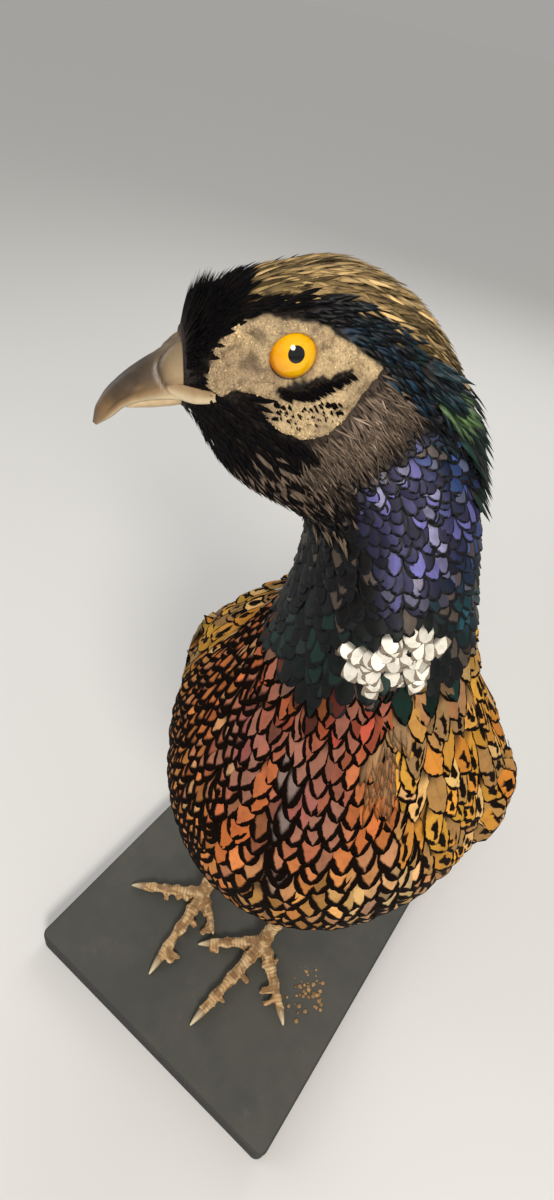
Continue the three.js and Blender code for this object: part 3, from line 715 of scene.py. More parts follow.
def face_paint(place, angle, tint):
    """The bare face's colours laid over the coat's."""
    _, forward, height, _, _ = on_slice(place, angle)
    distance = face_distance(place, angle)
    where = np.stack([forward, height, np.sign(angle) * 20.0], -1)
    # The lores before the eye, where the skin dips in, are painted greyer as painted shade; the rest of the
    # grey is the skin's own mottling.
    lores = smooth(17, 27, forward) * smooth(399, 392, height)
    grey = lores * 0.6 + 0.5 * smooth(0.0, 0.6, lumps(where, 4.0, 21))
    skin_tone = mix(FACE_CREAM, FACE_GREY, np.clip(grey, 0, 1)[..., None])
    mottled = smooth(0.1, 0.7, lumps(where, 1.4, 22)) * 0.55
    skin_tone = mix(skin_tone, FACE_DARK, mottled[..., None])
    off = off_streak(forward, height) - streak_width(forward) + 0.7 * lumps(where, 1.6, 23)
    skin_tone = mix(skin_tone, BLACK, smooth(0.3, -0.3, off)[..., None])
    inside = smooth(0.5, -0.5, distance + 0.7 * lumps(where, 1.5, 24))
    return mix(tint, skin_tone, inside[..., None])


def make_skin_finish():
    material, tree, shader = new_finish("bare_and_feathered_skin", Roughness=0.72, Specular_IOR_Level=0.3)
    grain = group_outputs(tree, GRAIN, Fine=1500.0, Blotch=420.0)
    tint = attribute(tree, "tint")
    deep = blended(tree, 0.6, tint, (0.05, 0.03, 0.02))
    colour = blended(tree, times(tree, step(tree, grain["Grain"], 0.62, 0.4), 0.6), tint, deep)
    tree.links.new(colour, shader.inputs["Base Color"])
    bump(tree, shader, grain["Relief"], 0.55, 0.0006)
    return material


THIGHS = {
    "l": {"knee": (44, -14, 136), "hock": (28, -27, 76)},
    "r": {"knee": (-30, -16, 136), "hock": (-29, -25, 76)},
}
THIGH = {"knee_radius": 23, "cuff_radius": 7.5, "taper": 0.8, "dome": 0.4, "coat": 2.4}


def thigh_surface(leg):
    """A surface like the body's for one thigh: place 1 at the knee, 0 at the hock, and angle round it."""
    knee, hock = (np.array(leg[end], float) for end in ("knee", "hock"))
    axis = (hock - knee) / length_of(hock - knee)
    side = np.cross(axis, [0, 1, 0])
    side /= length_of(side)
    front = np.cross(side, axis)

    def surface(place, angle, grow=0.0):
        place, angle, grow = np.broadcast_arrays(place, angle, grow)
        share = np.clip(1 - place, 0.01 - THIGH["dome"], 1.2)
        taper = np.clip(share, 0, 1) ** THIGH["taper"]
        radius = mix(THIGH["knee_radius"], THIGH["cuff_radius"], taper) + grow
        radius = radius * np.sqrt(1 - (np.minimum(share, 0) / THIGH["dome"]) ** 2)
        around = np.radians(angle)[..., None]
        local = knee + axis * (share * length_of(hock - knee))[..., None]
        return in_row(local + (front * np.cos(around) + side * np.sin(around)) * radius[..., None])

    return surface


def make_skin(material):
    places = np.concatenate([np.linspace(0.02, 13.2, 170), np.linspace(13.24, LAST_SLICE, 230)])
    angles = np.linspace(-180, 180, SKIN_COLUMNS, endpoint=False)
    place, angle = np.meshgrid(places, angles, indexing="ij")
    points = tube_points(skin(place, angle))
    inwards = tube_faces(*place.shape)
    flat_place, flat_angle = place.ravel(), angle.ravel()
    # Under the coat the skin is painted as the plumage darkened: painted shade between the feathers, darkest
    # towards the bill's root under the forehead's tuft.
    shade = mix(0.55, 0.25, smooth(17.2, 18.2, flat_place))[:, None]
    tint = face_paint(flat_place, flat_angle, plumage(flat_place, flat_angle) * shade)
    tint = np.concatenate([tint, np.tile(TAN, (2, 1))])
    piece = new_piece("skin", points, [faces[:, ::-1] for faces in inwards], material)
    paint_points(piece, "tint", tint)
    shares, angles = np.linspace(1.1, -0.38, 38), np.linspace(-180, 180, 36, endpoint=False)
    share, around = np.meshgrid(shares, angles, indexing="ij")
    for leg in THIGHS.values():
        rings = thigh_surface(leg)(share, around, -THIGH["coat"])
        # The thighs' skin is painted as half-bright tan: painted shade under their feathers.
        tint = np.tile(TAN * 0.5, (share.size, 1))
        join_to(piece, tube_piece("thigh_skin", rings, material, tint))
    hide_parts("trunk", "rump", "neck", "head", "wing_l", "wing_r", "thigh_l", "thigh_r")
    return piece


def take_shape(piece):
    """Makes what a piece's modifiers give its own plain mesh."""
    bpy.context.view_layer.update()
    shaped = bpy.data.meshes.new_from_object(piece.evaluated_get(bpy.context.evaluated_depsgraph_get()))
    piece.modifiers.clear()
    piece.data = shaped


def join_to(piece, other):
    """Unites another closed mesh with a piece, as one surface."""
    union = piece.modifiers.new("union", "BOOLEAN")
    union.operation, union.object, union.solver = "UNION", other, "MANIFOLD"
    take_shape(piece)
    bpy.data.objects.remove(other)


# ---------------------------------------------------------------- feathers

# Each shape is rows of (share along the feather, share of its width).
ROUND = [(0, 0.35), (0.3, 0.82), (0.56, 1), (0.74, 0.96), (0.86, 0.8), (0.95, 0.5), (1, 0)]
POINTED = [(0, 0.35), (0.35, 0.86), (0.62, 1), (0.8, 0.8), (0.92, 0.45), (1, 0)]
SQUARE = [(0, 0.6), (0.4, 0.9), (0.75, 1), (0.93, 1), (1, 0.84)]
LANCE = [(0, 0.5), (0.35, 1), (0.7, 0.74), (1, 0)]
SPIKE = [(0, 0.9), (0.5, 0.8), (1, 0)]
PATCH = 0.003


def signed(angle):
    """The same angle, between -180 and 180 degrees."""
    return np.mod(angle + 180, 360) - 180


def speed(surface, place, angle, step=0.0, turn=0.0):
    """Millimetres along a surface for each slice, measured over a step, or each degree, over a turn."""
    gap = surface(place + step, angle + turn) - surface(place - step, angle - turn)
    return length_of(gap) / (2 * (step + turn))


def root_lattice(front, back, spacing, width, rng, scatter=0.16):
    """Staggered rows of feather roots from place front down to place back. Spacing along the body and
    width across it are functions of place and angle, in millimetres."""
    places, angles = np.linspace(front, back, 160), np.linspace(0, 360, 241)
    around = signed(angles)
    place, angle = np.meshgrid(places, around, indexing="ij")
    steps = length_of(np.diff(body(place, angle), axis=0))
    rows = np.vstack([np.zeros(len(angles)), np.cumsum(steps / spacing(place, angle)[1:], axis=0)])
    levels = np.arange(int(rows.max())) + 0.5
    lines = np.stack([np.interp(levels, row, places, right=np.nan) for row in rows.T], 1)
    found = []
    for row, line in enumerate(lines):
        known = ~np.isnan(line)
        if known.sum() < 3:
            continue
        filled = np.interp(angles, angles[known], line[known])
        gaps = length_of(np.diff(body(filled, around), axis=0)) / width(filled, around)[1:]
        measure = np.concatenate([[0], np.cumsum(gaps)])
        number = max(3, int(round(measure[-1])))
        at = (np.arange(number) + 0.5 * (row % 2) + rng.normal(0, scatter, number)) * measure[-1] / number
        chosen = np.interp(np.mod(at, measure[-1]), measure, angles)
        keep = np.interp(chosen, angles, known.astype(float)) > 0.5
        found.append(np.stack([np.interp(chosen, angles, filled), signed(chosen)], 1)[keep])
    place, angle = np.concatenate(found).T
    along = rng.normal(0, scatter, len(place)) * spacing(place, angle)
    return place + along / speed(body, place, angle, 0.05), angle


def patches(place, angle):
    """Where each root lies on the body's own unwrap."""
    across, along = np.asarray(angle) / 360 + 0.5, np.clip(place, 0, LAST_SLICE) / LAST_SLICE
    return np.stack([0.01 + 0.98 * across, 0.01 + 0.98 * along], -1)


def vanes(place, angle, half, top, camber, thick, surface, lean=0.0):
    """Points of closed thin vanes. Place and angle are each vane's centre line, one column for each row of
    its shape, top its height over the surface, and half its half width."""
    along, across = speed(surface, place, angle, step=0.02), speed(surface, place, angle, turn=0.4)
    sides = []
    for left, level in ((-1, -camber), (0, 0.0), (1, -camber), (0, -thick)):
        offset = left * half
        side_place = place + offset * np.sin(lean) / along
        side_angle = angle + offset * np.cos(lean) / across
        sides.append(surface(side_place, side_angle, top + level))
    return np.stack(sides, 2)


def vane_mesh(name, shape, points, material, tint, marks, patch):
    """One piece of many vanes, with the vane map, the unwrap's patches, and each vane's tint and marks."""
    count = len(points)
    pointed = shape[-1][1] == 0
    rings = len(shape) - 1 if pointed else len(shape)
    along = np.array([v for v, _ in shape])
    flat = points[:, :rings].reshape(count, rings * 4, 3)
    across = np.tile([0.0, 0.5, 1.0, 0.5], rings)
    lengthways = np.repeat(along[:rings], 4)
    if pointed:
        flat = np.concatenate([flat, points[:, -1:, 1]], 1)
        across, lengthways = np.append(across, 0.5), np.append(lengthways, 1.0)
    each = flat.shape[1]
    sides = [(i, (i + 1) % 4) for i in range(4)]
    last = (rings - 1) * 4
    quads = [[0, 3, 2, 1]]
    quads += [[low + i, low + j, low + 4 + j, low + 4 + i] for low in range(0, last, 4) for i, j in sides]
    if not pointed:
        quads.append([last, last + 1, last + 2, last + 3])
    base = (np.arange(count) * each)[:, None, None]
    faces = [(base + np.array(quads)).reshape(-1, 4)]
    if pointed:
        faces.append((base + np.array([[last + i, last + j, each - 1] for i, j in sides])).reshape(-1, 3))
    piece = new_piece(name, flat.reshape(-1, 3), faces, material)
    vane = np.stack([np.tile(across, count), np.tile(lengthways, count)], 1)
    map_points(piece, "vane", vane)
    spread = np.stack([(vane[:, 0] - 0.5) * PATCH, (vane[:, 1] - 0.5) * PATCH], 1)
    map_points(piece, "OFBake", np.repeat(patch, each, 0) + spread)
    paint_points(piece, "tint", np.repeat(tint, each, 0))
    paint_points(piece, "marks", np.repeat(marks, each, 0))
    kinds = np.zeros((count, each), int)
    kinds[:, 0:rings * 4:4], kinds[:, 2:rings * 4:4] = 1, 2
    sharpen(piece, kinds.ravel())
    return piece


def feathers(name, place, angle, length, width, material, tint, marks, rng, *, root, tip,
             shape=ROUND, camber=0.8, thick=0.3, lean=0.0, surface=body, over=swell):
    """Small feathers that lie tailwards along a surface. Root and tip are their ends' heights over it."""
    place = np.minimum(place, LAST_SLICE - 0.04)
    count = len(place)
    share, profile = map(np.array, zip(*shape))
    sizes = np.array([np.broadcast_to(size, count) for size in (length, width, lean, root, tip)], float)
    length, width, lean, root, tip = sizes[:, :, None]
    lean = lean + rng.normal(0, 0.09, (count, 1))
    run = share * length
    along = speed(surface, place, angle, step=0.02)[:, None]
    across = speed(surface, place, angle, turn=0.5)[:, None]
    line_place = place[:, None] - run * np.cos(lean) / along
    line_angle = angle[:, None] + run * np.sin(lean) / across
    rise = root + (tip - root) * share**0.8 + rng.normal(0, 0.22, (count, 1)) * share
    rise = rise + over(line_place, line_angle)
    half = profile * width / 2
    points = vanes(line_place, line_angle, half, rise, camber * profile**2, thick, surface, lean)
    return vane_mesh(name, shape, points, material, tint, marks, patches(place, angle))


def tinted(place, angle, rng, spread=0.14):
    """A tint for each feather: the plumage's colour with a little difference from one to the next."""
    colour = plumage(place, angle, rng)
    tone = np.exp(rng.normal(0, spread, len(place)))[:, None]
    return np.clip(colour * tone * (1 + rng.normal(0, 0.05, (len(place), 3))), 0, 1)


def marks_of(count, rim, shaft=0.0, spot=0.0):
    """Each feather's dark marks, as shares: its rim's width, its shaft, and its spot or bars."""
    return np.stack([np.broadcast_to(np.asarray(x, float), (count,)) for x in (rim, shaft, spot)], 1)


def above_wing(place, angle):
    return np.abs(angle) < along_edge(WING_UPPER_EDGE, np.clip(place, 0.75, 6.7)) + 3


def clear_of_wing(place, angle):
    inside = (wing_share(place, angle) > -0.02) & (wing_share(place, angle) < 1.02)
    return ~(inside & (place > WING["tip"]) & (place < WING["front"] - 0.25))


def by_place(*sizes):
    """A size along the body, from pairs of place and millimetres."""
    places, values = zip(*sizes)
    return lambda place, angle: np.interp(place, places, values) + 0 * np.asarray(angle, float)


def recolour(tint, chosen, colour, share):
    tint[chosen] = mix(tint[chosen], colour, share)


def right_lobe(place, angle):
    """1 on the breast's right, where its feathers are small and dark, and 0 elsewhere."""
    return window(angle, -162, -80, 6) * smooth(7.0, 7.6, place)


def by_lobe(in_lobe, *sizes):
    """A size along the breast, as by_place gives it, with another in its right lobe."""
    outside = by_place(*sizes)
    return lambda place, angle: mix(outside(place, angle), in_lobe, right_lobe(place, angle))


def lay_breast(finish, rng):
    """The breast's scalloped feathers."""
    spacing = by_lobe(5.0, (3, 10), (6, 8.8), (7.4, 8.4), (8.6, 7.8), (9.6, 6.4), (10.6, 4.6))
    width = by_lobe(5.6, (3, 9), (6, 8.6), (7.4, 8.2), (8.6, 7.4), (9.6, 5.4), (10.6, 4.2))
    place, angle = root_lattice(10.8, 3.2, spacing, width, rng, 0.2)
    wavy = 0.06 * rng.normal(size=len(place))
    keep = (np.abs(angle) > shoulder_edge(place, angle)) & (place < neck_boundary(angle) + 0.14 + wavy)
    keep &= clear_of_wing(place, angle) & (place > 5.6 - smooth(120, 150, np.abs(angle)) * 0.8)
    place, angle = place[keep], angle[keep]
    lobe = right_lobe(place, angle)
    rim = np.interp(place, [5, 6.6, 7.3, 8.5, 9.4, 10.0], [0.04, 0.1, 0.18, 0.2, 0.13, 0.03])
    rim = mix(rim, 0.33, lobe) * (1 + 0.2 * rng.normal(size=len(place)))
    tint = tinted(place, angle, rng, 0.2)
    kind = rng.random(len(place))
    above = place > 7
    recolour(tint, (kind < 0.14) & above, RUST, 0.35)
    recolour(tint, (kind > 0.14) & (kind < 0.4) & above, ROSY_TAN, 0.5)
    recolour(tint, (kind > 0.4) & (kind < 0.52) & (lobe > 0.5), BUFF, 0.45)
    recolour(tint, kind > 0.9, VENT_BROWN, 0.45)
    grey = off_line(place, angle, GREY_STRIP) < 3.6
    recolour(tint, grey, SILVER_BROWN, 0.75)
    plain = off_line(place, angle, PLAIN_PATCH) < 4.2
    recolour(tint, plain, RUST, 0.75)
    plain |= (place > 10.05) & (angle > -168) & (angle < -136)
    rim = np.where(plain, 0.03, np.where(grey, 0.4, rim))
    marks = marks_of(len(place), np.clip(rim, 0.02, 0.75), 0.05)
    tint = mix(tint, tint.mean(1, keepdims=True), 0.1) * mix(0.86, 0.62, smooth(8.3, 7.2, place))[:, None]
    for side, chosen in (("left", angle > 0), ("right", angle <= 0)):
        feathers(f"breast_feathers_{side}", place[chosen], angle[chosen],
                 spacing(place, angle)[chosen] * 2.2, width(place, angle)[chosen] * 1.45, finish,
                 tint[chosen], marks[chosen], rng,
                 shape=ROUND, root=-2.9, tip=0.1 + 0.25 * rng.random(chosen.sum()), thick=0.2)


def lay_mantle(finish, soft, rng):
    """The shoulders' long golden feathers with black blotches."""
    spacing = by_place((6, 12), (8, 10), (9.6, 8.5), (10.5, 7))
    width = by_place((6, 10), (8, 8.2), (9.6, 7), (10.5, 6))
    place, angle = root_lattice(10.8, 5.7, spacing, width, rng, 0.25)
    keep = (np.abs(angle) < shoulder_edge(place, angle) + 2) & (place < neck_boundary(angle) + 0.1)
    keep &= above_wing(place, angle) | (place > WING["front"] - 0.2)
    place, angle = place[keep], angle[keep]
    kind = rng.random(len(place))
    tint = tinted(place, angle, rng, 0.2)
    recolour(tint, (kind < 0.2) & (place < 9.9), PALE_BUFF, 0.4)
    recolour(tint, (kind > 0.2) & (kind < 0.45), SOFT_BROWN, 0.65)
    recolour(tint, (kind > 0.45) & (kind < 0.6) & (place < 9.9), RUST, 0.3)
    spotted = (rng.random(len(place)) < 0.75) & (place < 10.1)
    marks = marks_of(len(place), 0.03 + 0.08 * rng.random(len(place)), 0.1, spotted)
    feathers("mantle_feathers", place, angle, spacing(place, angle) * 2.5, width(place, angle) * 1.5,
             finish, tint, marks, rng, shape=POINTED, root=-3.0,
             tip=0.2 + 0.4 * rng.random(len(place)), camber=1.0, thick=0.2,
             lean=rng.normal(0, 0.12, len(place)))
    lay_fold(soft, rng)


def lay_fold(finish, rng):
    """The soft brown feathers over the fold between shoulder and breast."""
    count = 90
    share = rng.random(count)
    place = np.interp(share, [0, 0.4, 1], [10.05, 9.8, 9.35]) + rng.normal(0, 0.07, count)
    angle = np.interp(share, [0, 0.4, 1], [122, 131, 124]) + rng.normal(0, 3.0, count)
    tint = mix(SOFT_BROWN, COPPER, (share * rng.random(count))[:, None])
    tint = tint * np.exp(rng.normal(0, 0.2, (count, 1)))
    feathers("fold_feathers", place, angle, 14.0, 4.2, finish, tint,
             marks_of(count, 0.0, 0.3), rng, shape=LANCE, root=-2.2, tip=0.5 + 0.5 * rng.random(count),
             camber=0.5, thick=0.16, lean=rng.normal(-0.1, 0.16, count))


def lay_back(finish, rng):
    spacing, width = by_place((0, 14), (3, 13), (6, 12)), by_place((0, 8), (3, 9), (6, 10))
    place, angle = root_lattice(6.0, 0.2, spacing, width, rng, 0.25)
    keep = above_wing(place, angle) | ((place < 1.0) & (np.abs(angle) < 118))
    place, angle = place[keep], angle[keep]
    back = smooth(3.6, 4.6, place)
    kind = rng.random(len(place))
    tint = tinted(place, angle, rng, 0.22)
    recolour(tint, (kind < 0.3) & (place < 4), SILVER_BROWN, 0.5)
    recolour(tint, (kind > 0.75) & (place < 4), VENT_BROWN, 0.5)
    recolour(tint, (kind > 0.5) & (kind < 0.75) & (place > 4), PALE_BUFF, 0.6)
    marks = marks_of(len(place), mix(0.1, 0.2, back), 0.3 * back, back * (rng.random(len(place)) < 0.8))
    feathers("back_feathers", place, angle, spacing(place, angle) * 2.3, width(place, angle) * 1.5, finish,
             tint, marks, rng, shape=POINTED, root=-3.0, tip=0.2, camber=1.1, thick=0.2,
             lean=rng.normal(0, 0.1, len(place)))


def lay_flanks(finish, rng):
    """Long flank feathers below the wing with black tips, and the plain brown ones of the belly."""
    spacing, width = by_place((0, 12.0)), by_place((0, 9.0))
    place, angle = root_lattice(6.3, 0.2, spacing, width, rng, 0.22)
    around = np.abs(angle)
    lower = along_edge(WING_LOWER_EDGE, np.clip(place, 0.75, 6.7))
    keep = (around > lower - 4) & ((place < 5.8) | (around < shoulder_edge(place, angle) + 6))
    keep &= ~((place > 4.9) & (around > 126))
    place, angle, around = place[keep], angle[keep], around[keep]
    belly = smooth(126, 142, around) * smooth(5.6, 5.0, place)
    marks = marks_of(len(place), mix(0.06, 0.02, belly), 0.15 * (1 - belly), 1 - belly)
    tint = tinted(place, angle, rng, 0.22)
    feathers("flank_feathers", place, angle, 27.0, 12.5, finish, tint, marks, rng, root=-3.0,
             tip=0.2, camber=1.1, thick=0.2)


def lay_neck(finish, white, rng):
    """The neck's glossy feathers, each a patch of one colour: some painted bright as glints (painted
    highlights), a share of these paler and greyer, and the rest painted dark as painted shade.
    """
    spacing = by_place((10.4, 5.0), (12, 4.2), (14, 3.2))
    width = by_place((10.4, 4.8), (12, 4.1), (14, 3.1))
    place, angle = root_lattice(14.7, 10.3, spacing, width, rng, 0.28)
    cheek_foot = 14.1 + 0.3 * smooth(90, 140, np.abs(angle)) + 0.4 * window(np.abs(angle), 50, 112, 8)
    keep = (place > neck_boundary(angle) - 0.02) & (place < cheek_foot)
    place, angle = place[keep], angle[keep]
    tint = plumage(place, angle, rng)
    count = len(place)
    where = np.stack([place * 15, angle * 0.6, 0 * place], 1)
    # Painted glints: these feathers' colour is painted bright as a highlight of their gloss, and the others
    # painted dark.
    painted_glint = rng.random(count) < 0.38 + 0.35 * lumps(where, 6.0, 61)
    tint = tint * np.where(painted_glint, rng.uniform(0.55, 1.45, count), rng.uniform(0.08, 0.35, count))[:, None]
    pale_painted_glint = painted_glint & (rng.random(count) < 0.4)
    grey = tint.mean(1, keepdims=True)
    tint[pale_painted_glint] = mix(tint, grey * 1.5, 0.45)[pale_painted_glint]
    recolour(tint, rng.random(count) < 0.1, MAUVE_BROWN, 0.35)
    marks = marks_of(count, 0.04 + 0.2 * rng.random(count), 0.1)
    feathers("neck_feathers", place, angle, spacing(place, angle) * 2.3, width(place, angle) * 1.5, finish,
             tint, marks, rng, shape=ROUND, root=-2.4, tip=0.2 + 0.5 * rng.random(count),
             camber=0.6, thick=0.18, lean=rng.normal(0, 0.24, count))
    lay_collar(white, rng)


def lay_collar(finish, rng):
    """The white feathers of the collar, on the neck's left side."""
    place, angle = root_lattice(11.5, 10.3, by_place((0, 3.4)), by_place((0, 3.8)), rng, 0.35)
    keep = (angle > COLLAR_TOP[0][0]) & (angle < COLLAR_TOP[-1][0]) & (rng.random(len(place)) < 0.85)
    keep &= (place > np.interp(angle, *zip(*COLLAR_FOOT))) & (place < np.interp(angle, *zip(*COLLAR_TOP)))
    place, angle = place[keep], angle[keep]
    count = len(place)
    tint = np.clip(COLLAR_WHITE * np.exp(rng.normal(-0.1, 0.14, count))[:, None], 0, 1)
    feathers("collar_feathers", place, angle, rng.uniform(5.0, 7.6, count), rng.uniform(5.0, 7.4, count),
             finish, tint, marks_of(count, 0.0, 0.1), rng, shape=SQUARE, root=-0.4,
             tip=0.9 + 0.8 * rng.random(count), camber=0.3, thick=0.2, lean=rng.normal(0.1, 0.35, count))


def lay_crown(finish, rng):
    """The streaked feathers of the crown and nape."""
    place, angle = root_lattice(18.2, 12.9, by_place((0, 2.7)), by_place((0, 1.6)), rng, 0.32)
    keep = (np.abs(angle) < crown_edge(place) + rng.normal(0, 1.4, len(place))) & (place < 17.78)
    keep &= place > 13.1 + 0.5 * rng.random(len(place))
    place, angle = place[keep], angle[keep]
    count = len(place)
    streaky = 0.5 + 0.5 * lumps(np.stack([place * 2.2, angle * 0.35, 0 * place], 1), 1.6, 62)
    share = np.clip(streaky + rng.normal(0, 0.22, count), 0, 1) * smooth(13.2, 15.2, place)
    colour = mix(OLIVE * 0.4, STRAW, share[:, None] ** 1.3) * np.exp(rng.normal(0, 0.2, count))[:, None]
    height = mix(0.1, -0.9, smooth(15.6, 17.0, place)) + 0.45 * rng.random(count)
    feathers("crown_feathers", place, angle, rng.uniform(8, 12, count), 1.6, finish, colour,
             marks_of(count, 0.0, 0.6, 0.4), rng, shape=LANCE, root=-1.6, tip=height, camber=0.4, thick=0.16,
             lean=rng.normal(0, 0.16, count))


def lay_sides(dark, glossy, soft, rng):
    """The rest of the head's feathers, which leave its bare face open."""
    place, angle = root_lattice(19.0, 12.6, by_place((0, 2.1)), by_place((0, 1.6)), rng, 0.28)
    top = np.abs(angle)
    keep = (face_distance(place, angle) > 0.4) & ((top > crown_edge(place) - 3) | (place > 17.5))
    keep &= ~((place < 13.6) & (top < 140)) | ((place < 13.6) & (top < 50))
    keep &= ((top > 100) & (place > 13.2)) | (place > 12.9)
    place, angle, top = place[keep], angle[keep], top[keep]
    brow = (top < 64) & (place < 16.6) & (top > crown_edge(place) - 4)
    ears = (top >= 56) & (top < 122) & (place < 15.35) & ~brow
    rest = ~brow & ~ears
    ears &= place > 13.7 + 0.6 * window(top, 50, 112, 8)
    lay_brows(place[brow], angle[brow], glossy, rng)
    lay_ear_coverts(place[ears], angle[ears], soft, rng)
    lay_throat(place[rest], angle[rest], dark, rng)


def lay_brows(place, angle, finish, rng):
    """The dark band above the face, with a little green and blue gloss painted into some feathers' colour as
    painted sheen.
    """
    count = len(place)
    # Painted sheen: a few feathers are tinted green and blue as glints of the brow's gloss.
    painted_sheen_hue = mix(BOTTLE_GREEN, mix(DEEP_TEAL, INK_BLUE, 0.5), rng.random((count, 1)))
    colour = mix(BLACK, painted_sheen_hue, 0.5 * rng.random((count, 1)) ** 2.5 * smooth(17, 15, place)[:, None])
    feathers("brow_feathers", place, angle, 8.0, 2.3, finish, colour, marks_of(count, 0.08),
             rng, shape=LANCE, root=-1.4, tip=0.5, camber=0.5, thick=0.16, lean=rng.normal(0, 0.15, count))


def lay_ear_coverts(place, angle, finish, rng):
    """The fine brown feathers behind the face, three to each root."""
    place, angle = np.tile(place, 3), np.tile(angle, 3)
    count = len(place)
    place = place + rng.normal(0, 0.06, count)
    angle = angle + rng.normal(0, 1.2, count)
    shade = smooth(14.9, 14.1, place) * 1.2 + smooth(88, 112, np.abs(angle)) * 0.6
    colour = mix(MAUVE_BROWN, BLACK, np.clip(shade * (0.25 + rng.random(count)), 0, 1)[:, None])
    colour = colour * np.exp(rng.normal(-0.1, 0.38, count))[:, None]
    feathers("cheek_feathers", place, angle, rng.uniform(6, 9, count), 0.6, finish, colour,
             marks_of(count, 0.0), rng, shape=LANCE, root=-1.3, tip=0.4 + 0.7 * rng.random(count), camber=0.2,
             thick=0.14, lean=rng.normal(0.1, 0.22, count))


def lay_throat(place, angle, finish, rng):
    """The velvety black feathers of the throat, chin and forehead."""
    count = len(place)
    long = np.interp(place, [15, 17.5, 18.4], [7.5, 5.0, 3.4])
    brown = (rng.random(count) < 0.3) & (np.abs(angle) > 118) & (place < 16.2)
    colour = np.where(brown[:, None], MAUVE_BROWN * 0.7, BLACK * 1.1)
    rise = 0.3 + 0.7 * rng.random(count) * smooth(18.8, 17.8, place)
    feathers("throat_feathers", place, angle, long, np.minimum(1.7, long * 0.38), finish,
             colour, marks_of(count, 0.0), rng, shape=LANCE, root=-1.0, tip=rise, camber=0.3, thick=0.16,
             lean=rng.normal(0, 0.2, count))


def lay_forehead(finish, rng):
    """The short velvety tuft that stands up over the bill's root and ends in points."""
    count = 1500
    place = rng.uniform(17.6, 19.0, count)
    angle = rng.uniform(-1, 1, count) * np.interp(place, [17.6, 19.0], [50, 82])
    keep = face_distance(place, angle) > 0.4
    place, angle = place[keep], angle[keep]
    count = len(place)
    top = smooth(66, 30, np.abs(angle))
    front = smooth(18.1, 18.75, place)
    spiky = (rng.random(count) < 0.16) * smooth(17.7, 18.0, place)
    low = mix(-0.3, 4.4, front)
    upright = mix(0.0, 0.7, front) + top * (low + rng.random(count) * mix(0.8, 1.6, front) + 1.8 * spiky)
    long = mix(2.0, mix(3.4, 4.6, front), top)
    feathers("forehead_tuft", place, angle, long, 1.15, finish,
             np.tile(BLACK * 0.9, (count, 1)), marks_of(count, 0.0), rng, shape=SPIKE, root=-0.9, tip=upright,
             camber=0.2, thick=0.3, lean=rng.normal(0, 0.25, count))


def lay_wings(finish, quill, rng):
    """The wings' coverts and, under them, their long flight feathers."""
    spacing, width = by_place((1, 16), (4, 11), (6.7, 8)), by_place((1, 13), (4, 11), (6.7, 8.5))
    place, angle = root_lattice(7.0, 3.2, spacing, width, rng, 0.15)
    share = wing_share(place, angle)
    keep = (share > -0.05) & (share < 0.98) & (place < WING["front"] + 0.1)
    place, angle = place[keep], angle[keep]
    marks = marks_of(len(place), 0.1, 0.6, 0.6 * (rng.random(len(place)) < 0.5))
    for side, sign in SIDES:
        chosen = angle > 0 if sign > 0 else angle <= 0
        tint = tinted(place, angle, rng, 0.2)[chosen]
        length = spacing(place, angle)[chosen] * 2.2
        feathers(f"wing_coverts_{side}", place[chosen], angle[chosen], length, 14.0, finish,
                 tint, marks[chosen], rng, root=-2.0, tip=0.2, camber=1.0)
        lay_flight_feathers(side, sign, quill, rng)


FLIGHT_SHAPE = [(0, 0.35), (0.12, 0.7), (0.3, 0.95), (0.5, 1), (0.7, 1), (0.85, 0.86), (0.94, 0.6), (1, 0)]
FLIGHT_COUNT = 17
# By order, from the innermost feather at 0 to the outermost at 1: the tip's place and share of the wing's
# height, and the half width.
FLIGHT_TIPS = [(0, 3.0), (0.35, 1.9), (0.6, 1.3), (1, 0.82)]
FLIGHT_TIP_SHARES = [(0, 0.2), (0.5, 0.62), (1, 0.62)]
FLIGHT_HALVES = [(0, 11), (0.4, 10), (1, 7)]


def lay_flight_feathers(side, sign, finish, rng):
    """The folded wing's long feathers: broad inner ones above, narrower and longer ones below."""
    order = np.arange(FLIGHT_COUNT)[:, None] / (FLIGHT_COUNT - 1)
    share, profile = map(np.array, zip(*FLIGHT_SHAPE))
    place = mix(mix(4.9, 4.2, order), np.interp(order, *zip(*FLIGHT_TIPS)), share)
    across = np.interp(order, [0, 1], [0.12, 0.86]) + 0 * share
    across = mix(across, np.interp(order, *zip(*FLIGHT_TIP_SHARES)), share**1.5)
    angle = sign * mix(along_edge(WING_UPPER_EDGE, place), along_edge(WING_LOWER_EDGE, place), across)
    half = profile * np.interp(order, *zip(*FLIGHT_HALVES))
    points = vanes(place, angle, half, 3.4 - order * 2.2 + 0.35 * share, 0.7, 0.5, body)
    tint = mix(SOFT_BROWN, TAN, order) * np.exp(rng.normal(0, 0.08, order.shape))
    patch = patches(place[:, 0], angle[:, 0]) + np.hstack([0 * order, order * 0.06])
    piece = vane_mesh(f"flight_quills_{side}", FLIGHT_SHAPE, points, finish, tint,
                      marks_of(FLIGHT_COUNT, 0.05, 0.4, 1.0), patch)
    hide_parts(f"flight_feathers_{side}")


TAIL = {"length": 425, "turn": 15, "droop": 8, "sag": 24, "root_inset": 5, "lift": -1, "roof": 0.36,
        "pairs": 9, "shortening": 0.86}
TAIL_STATIONS = 26


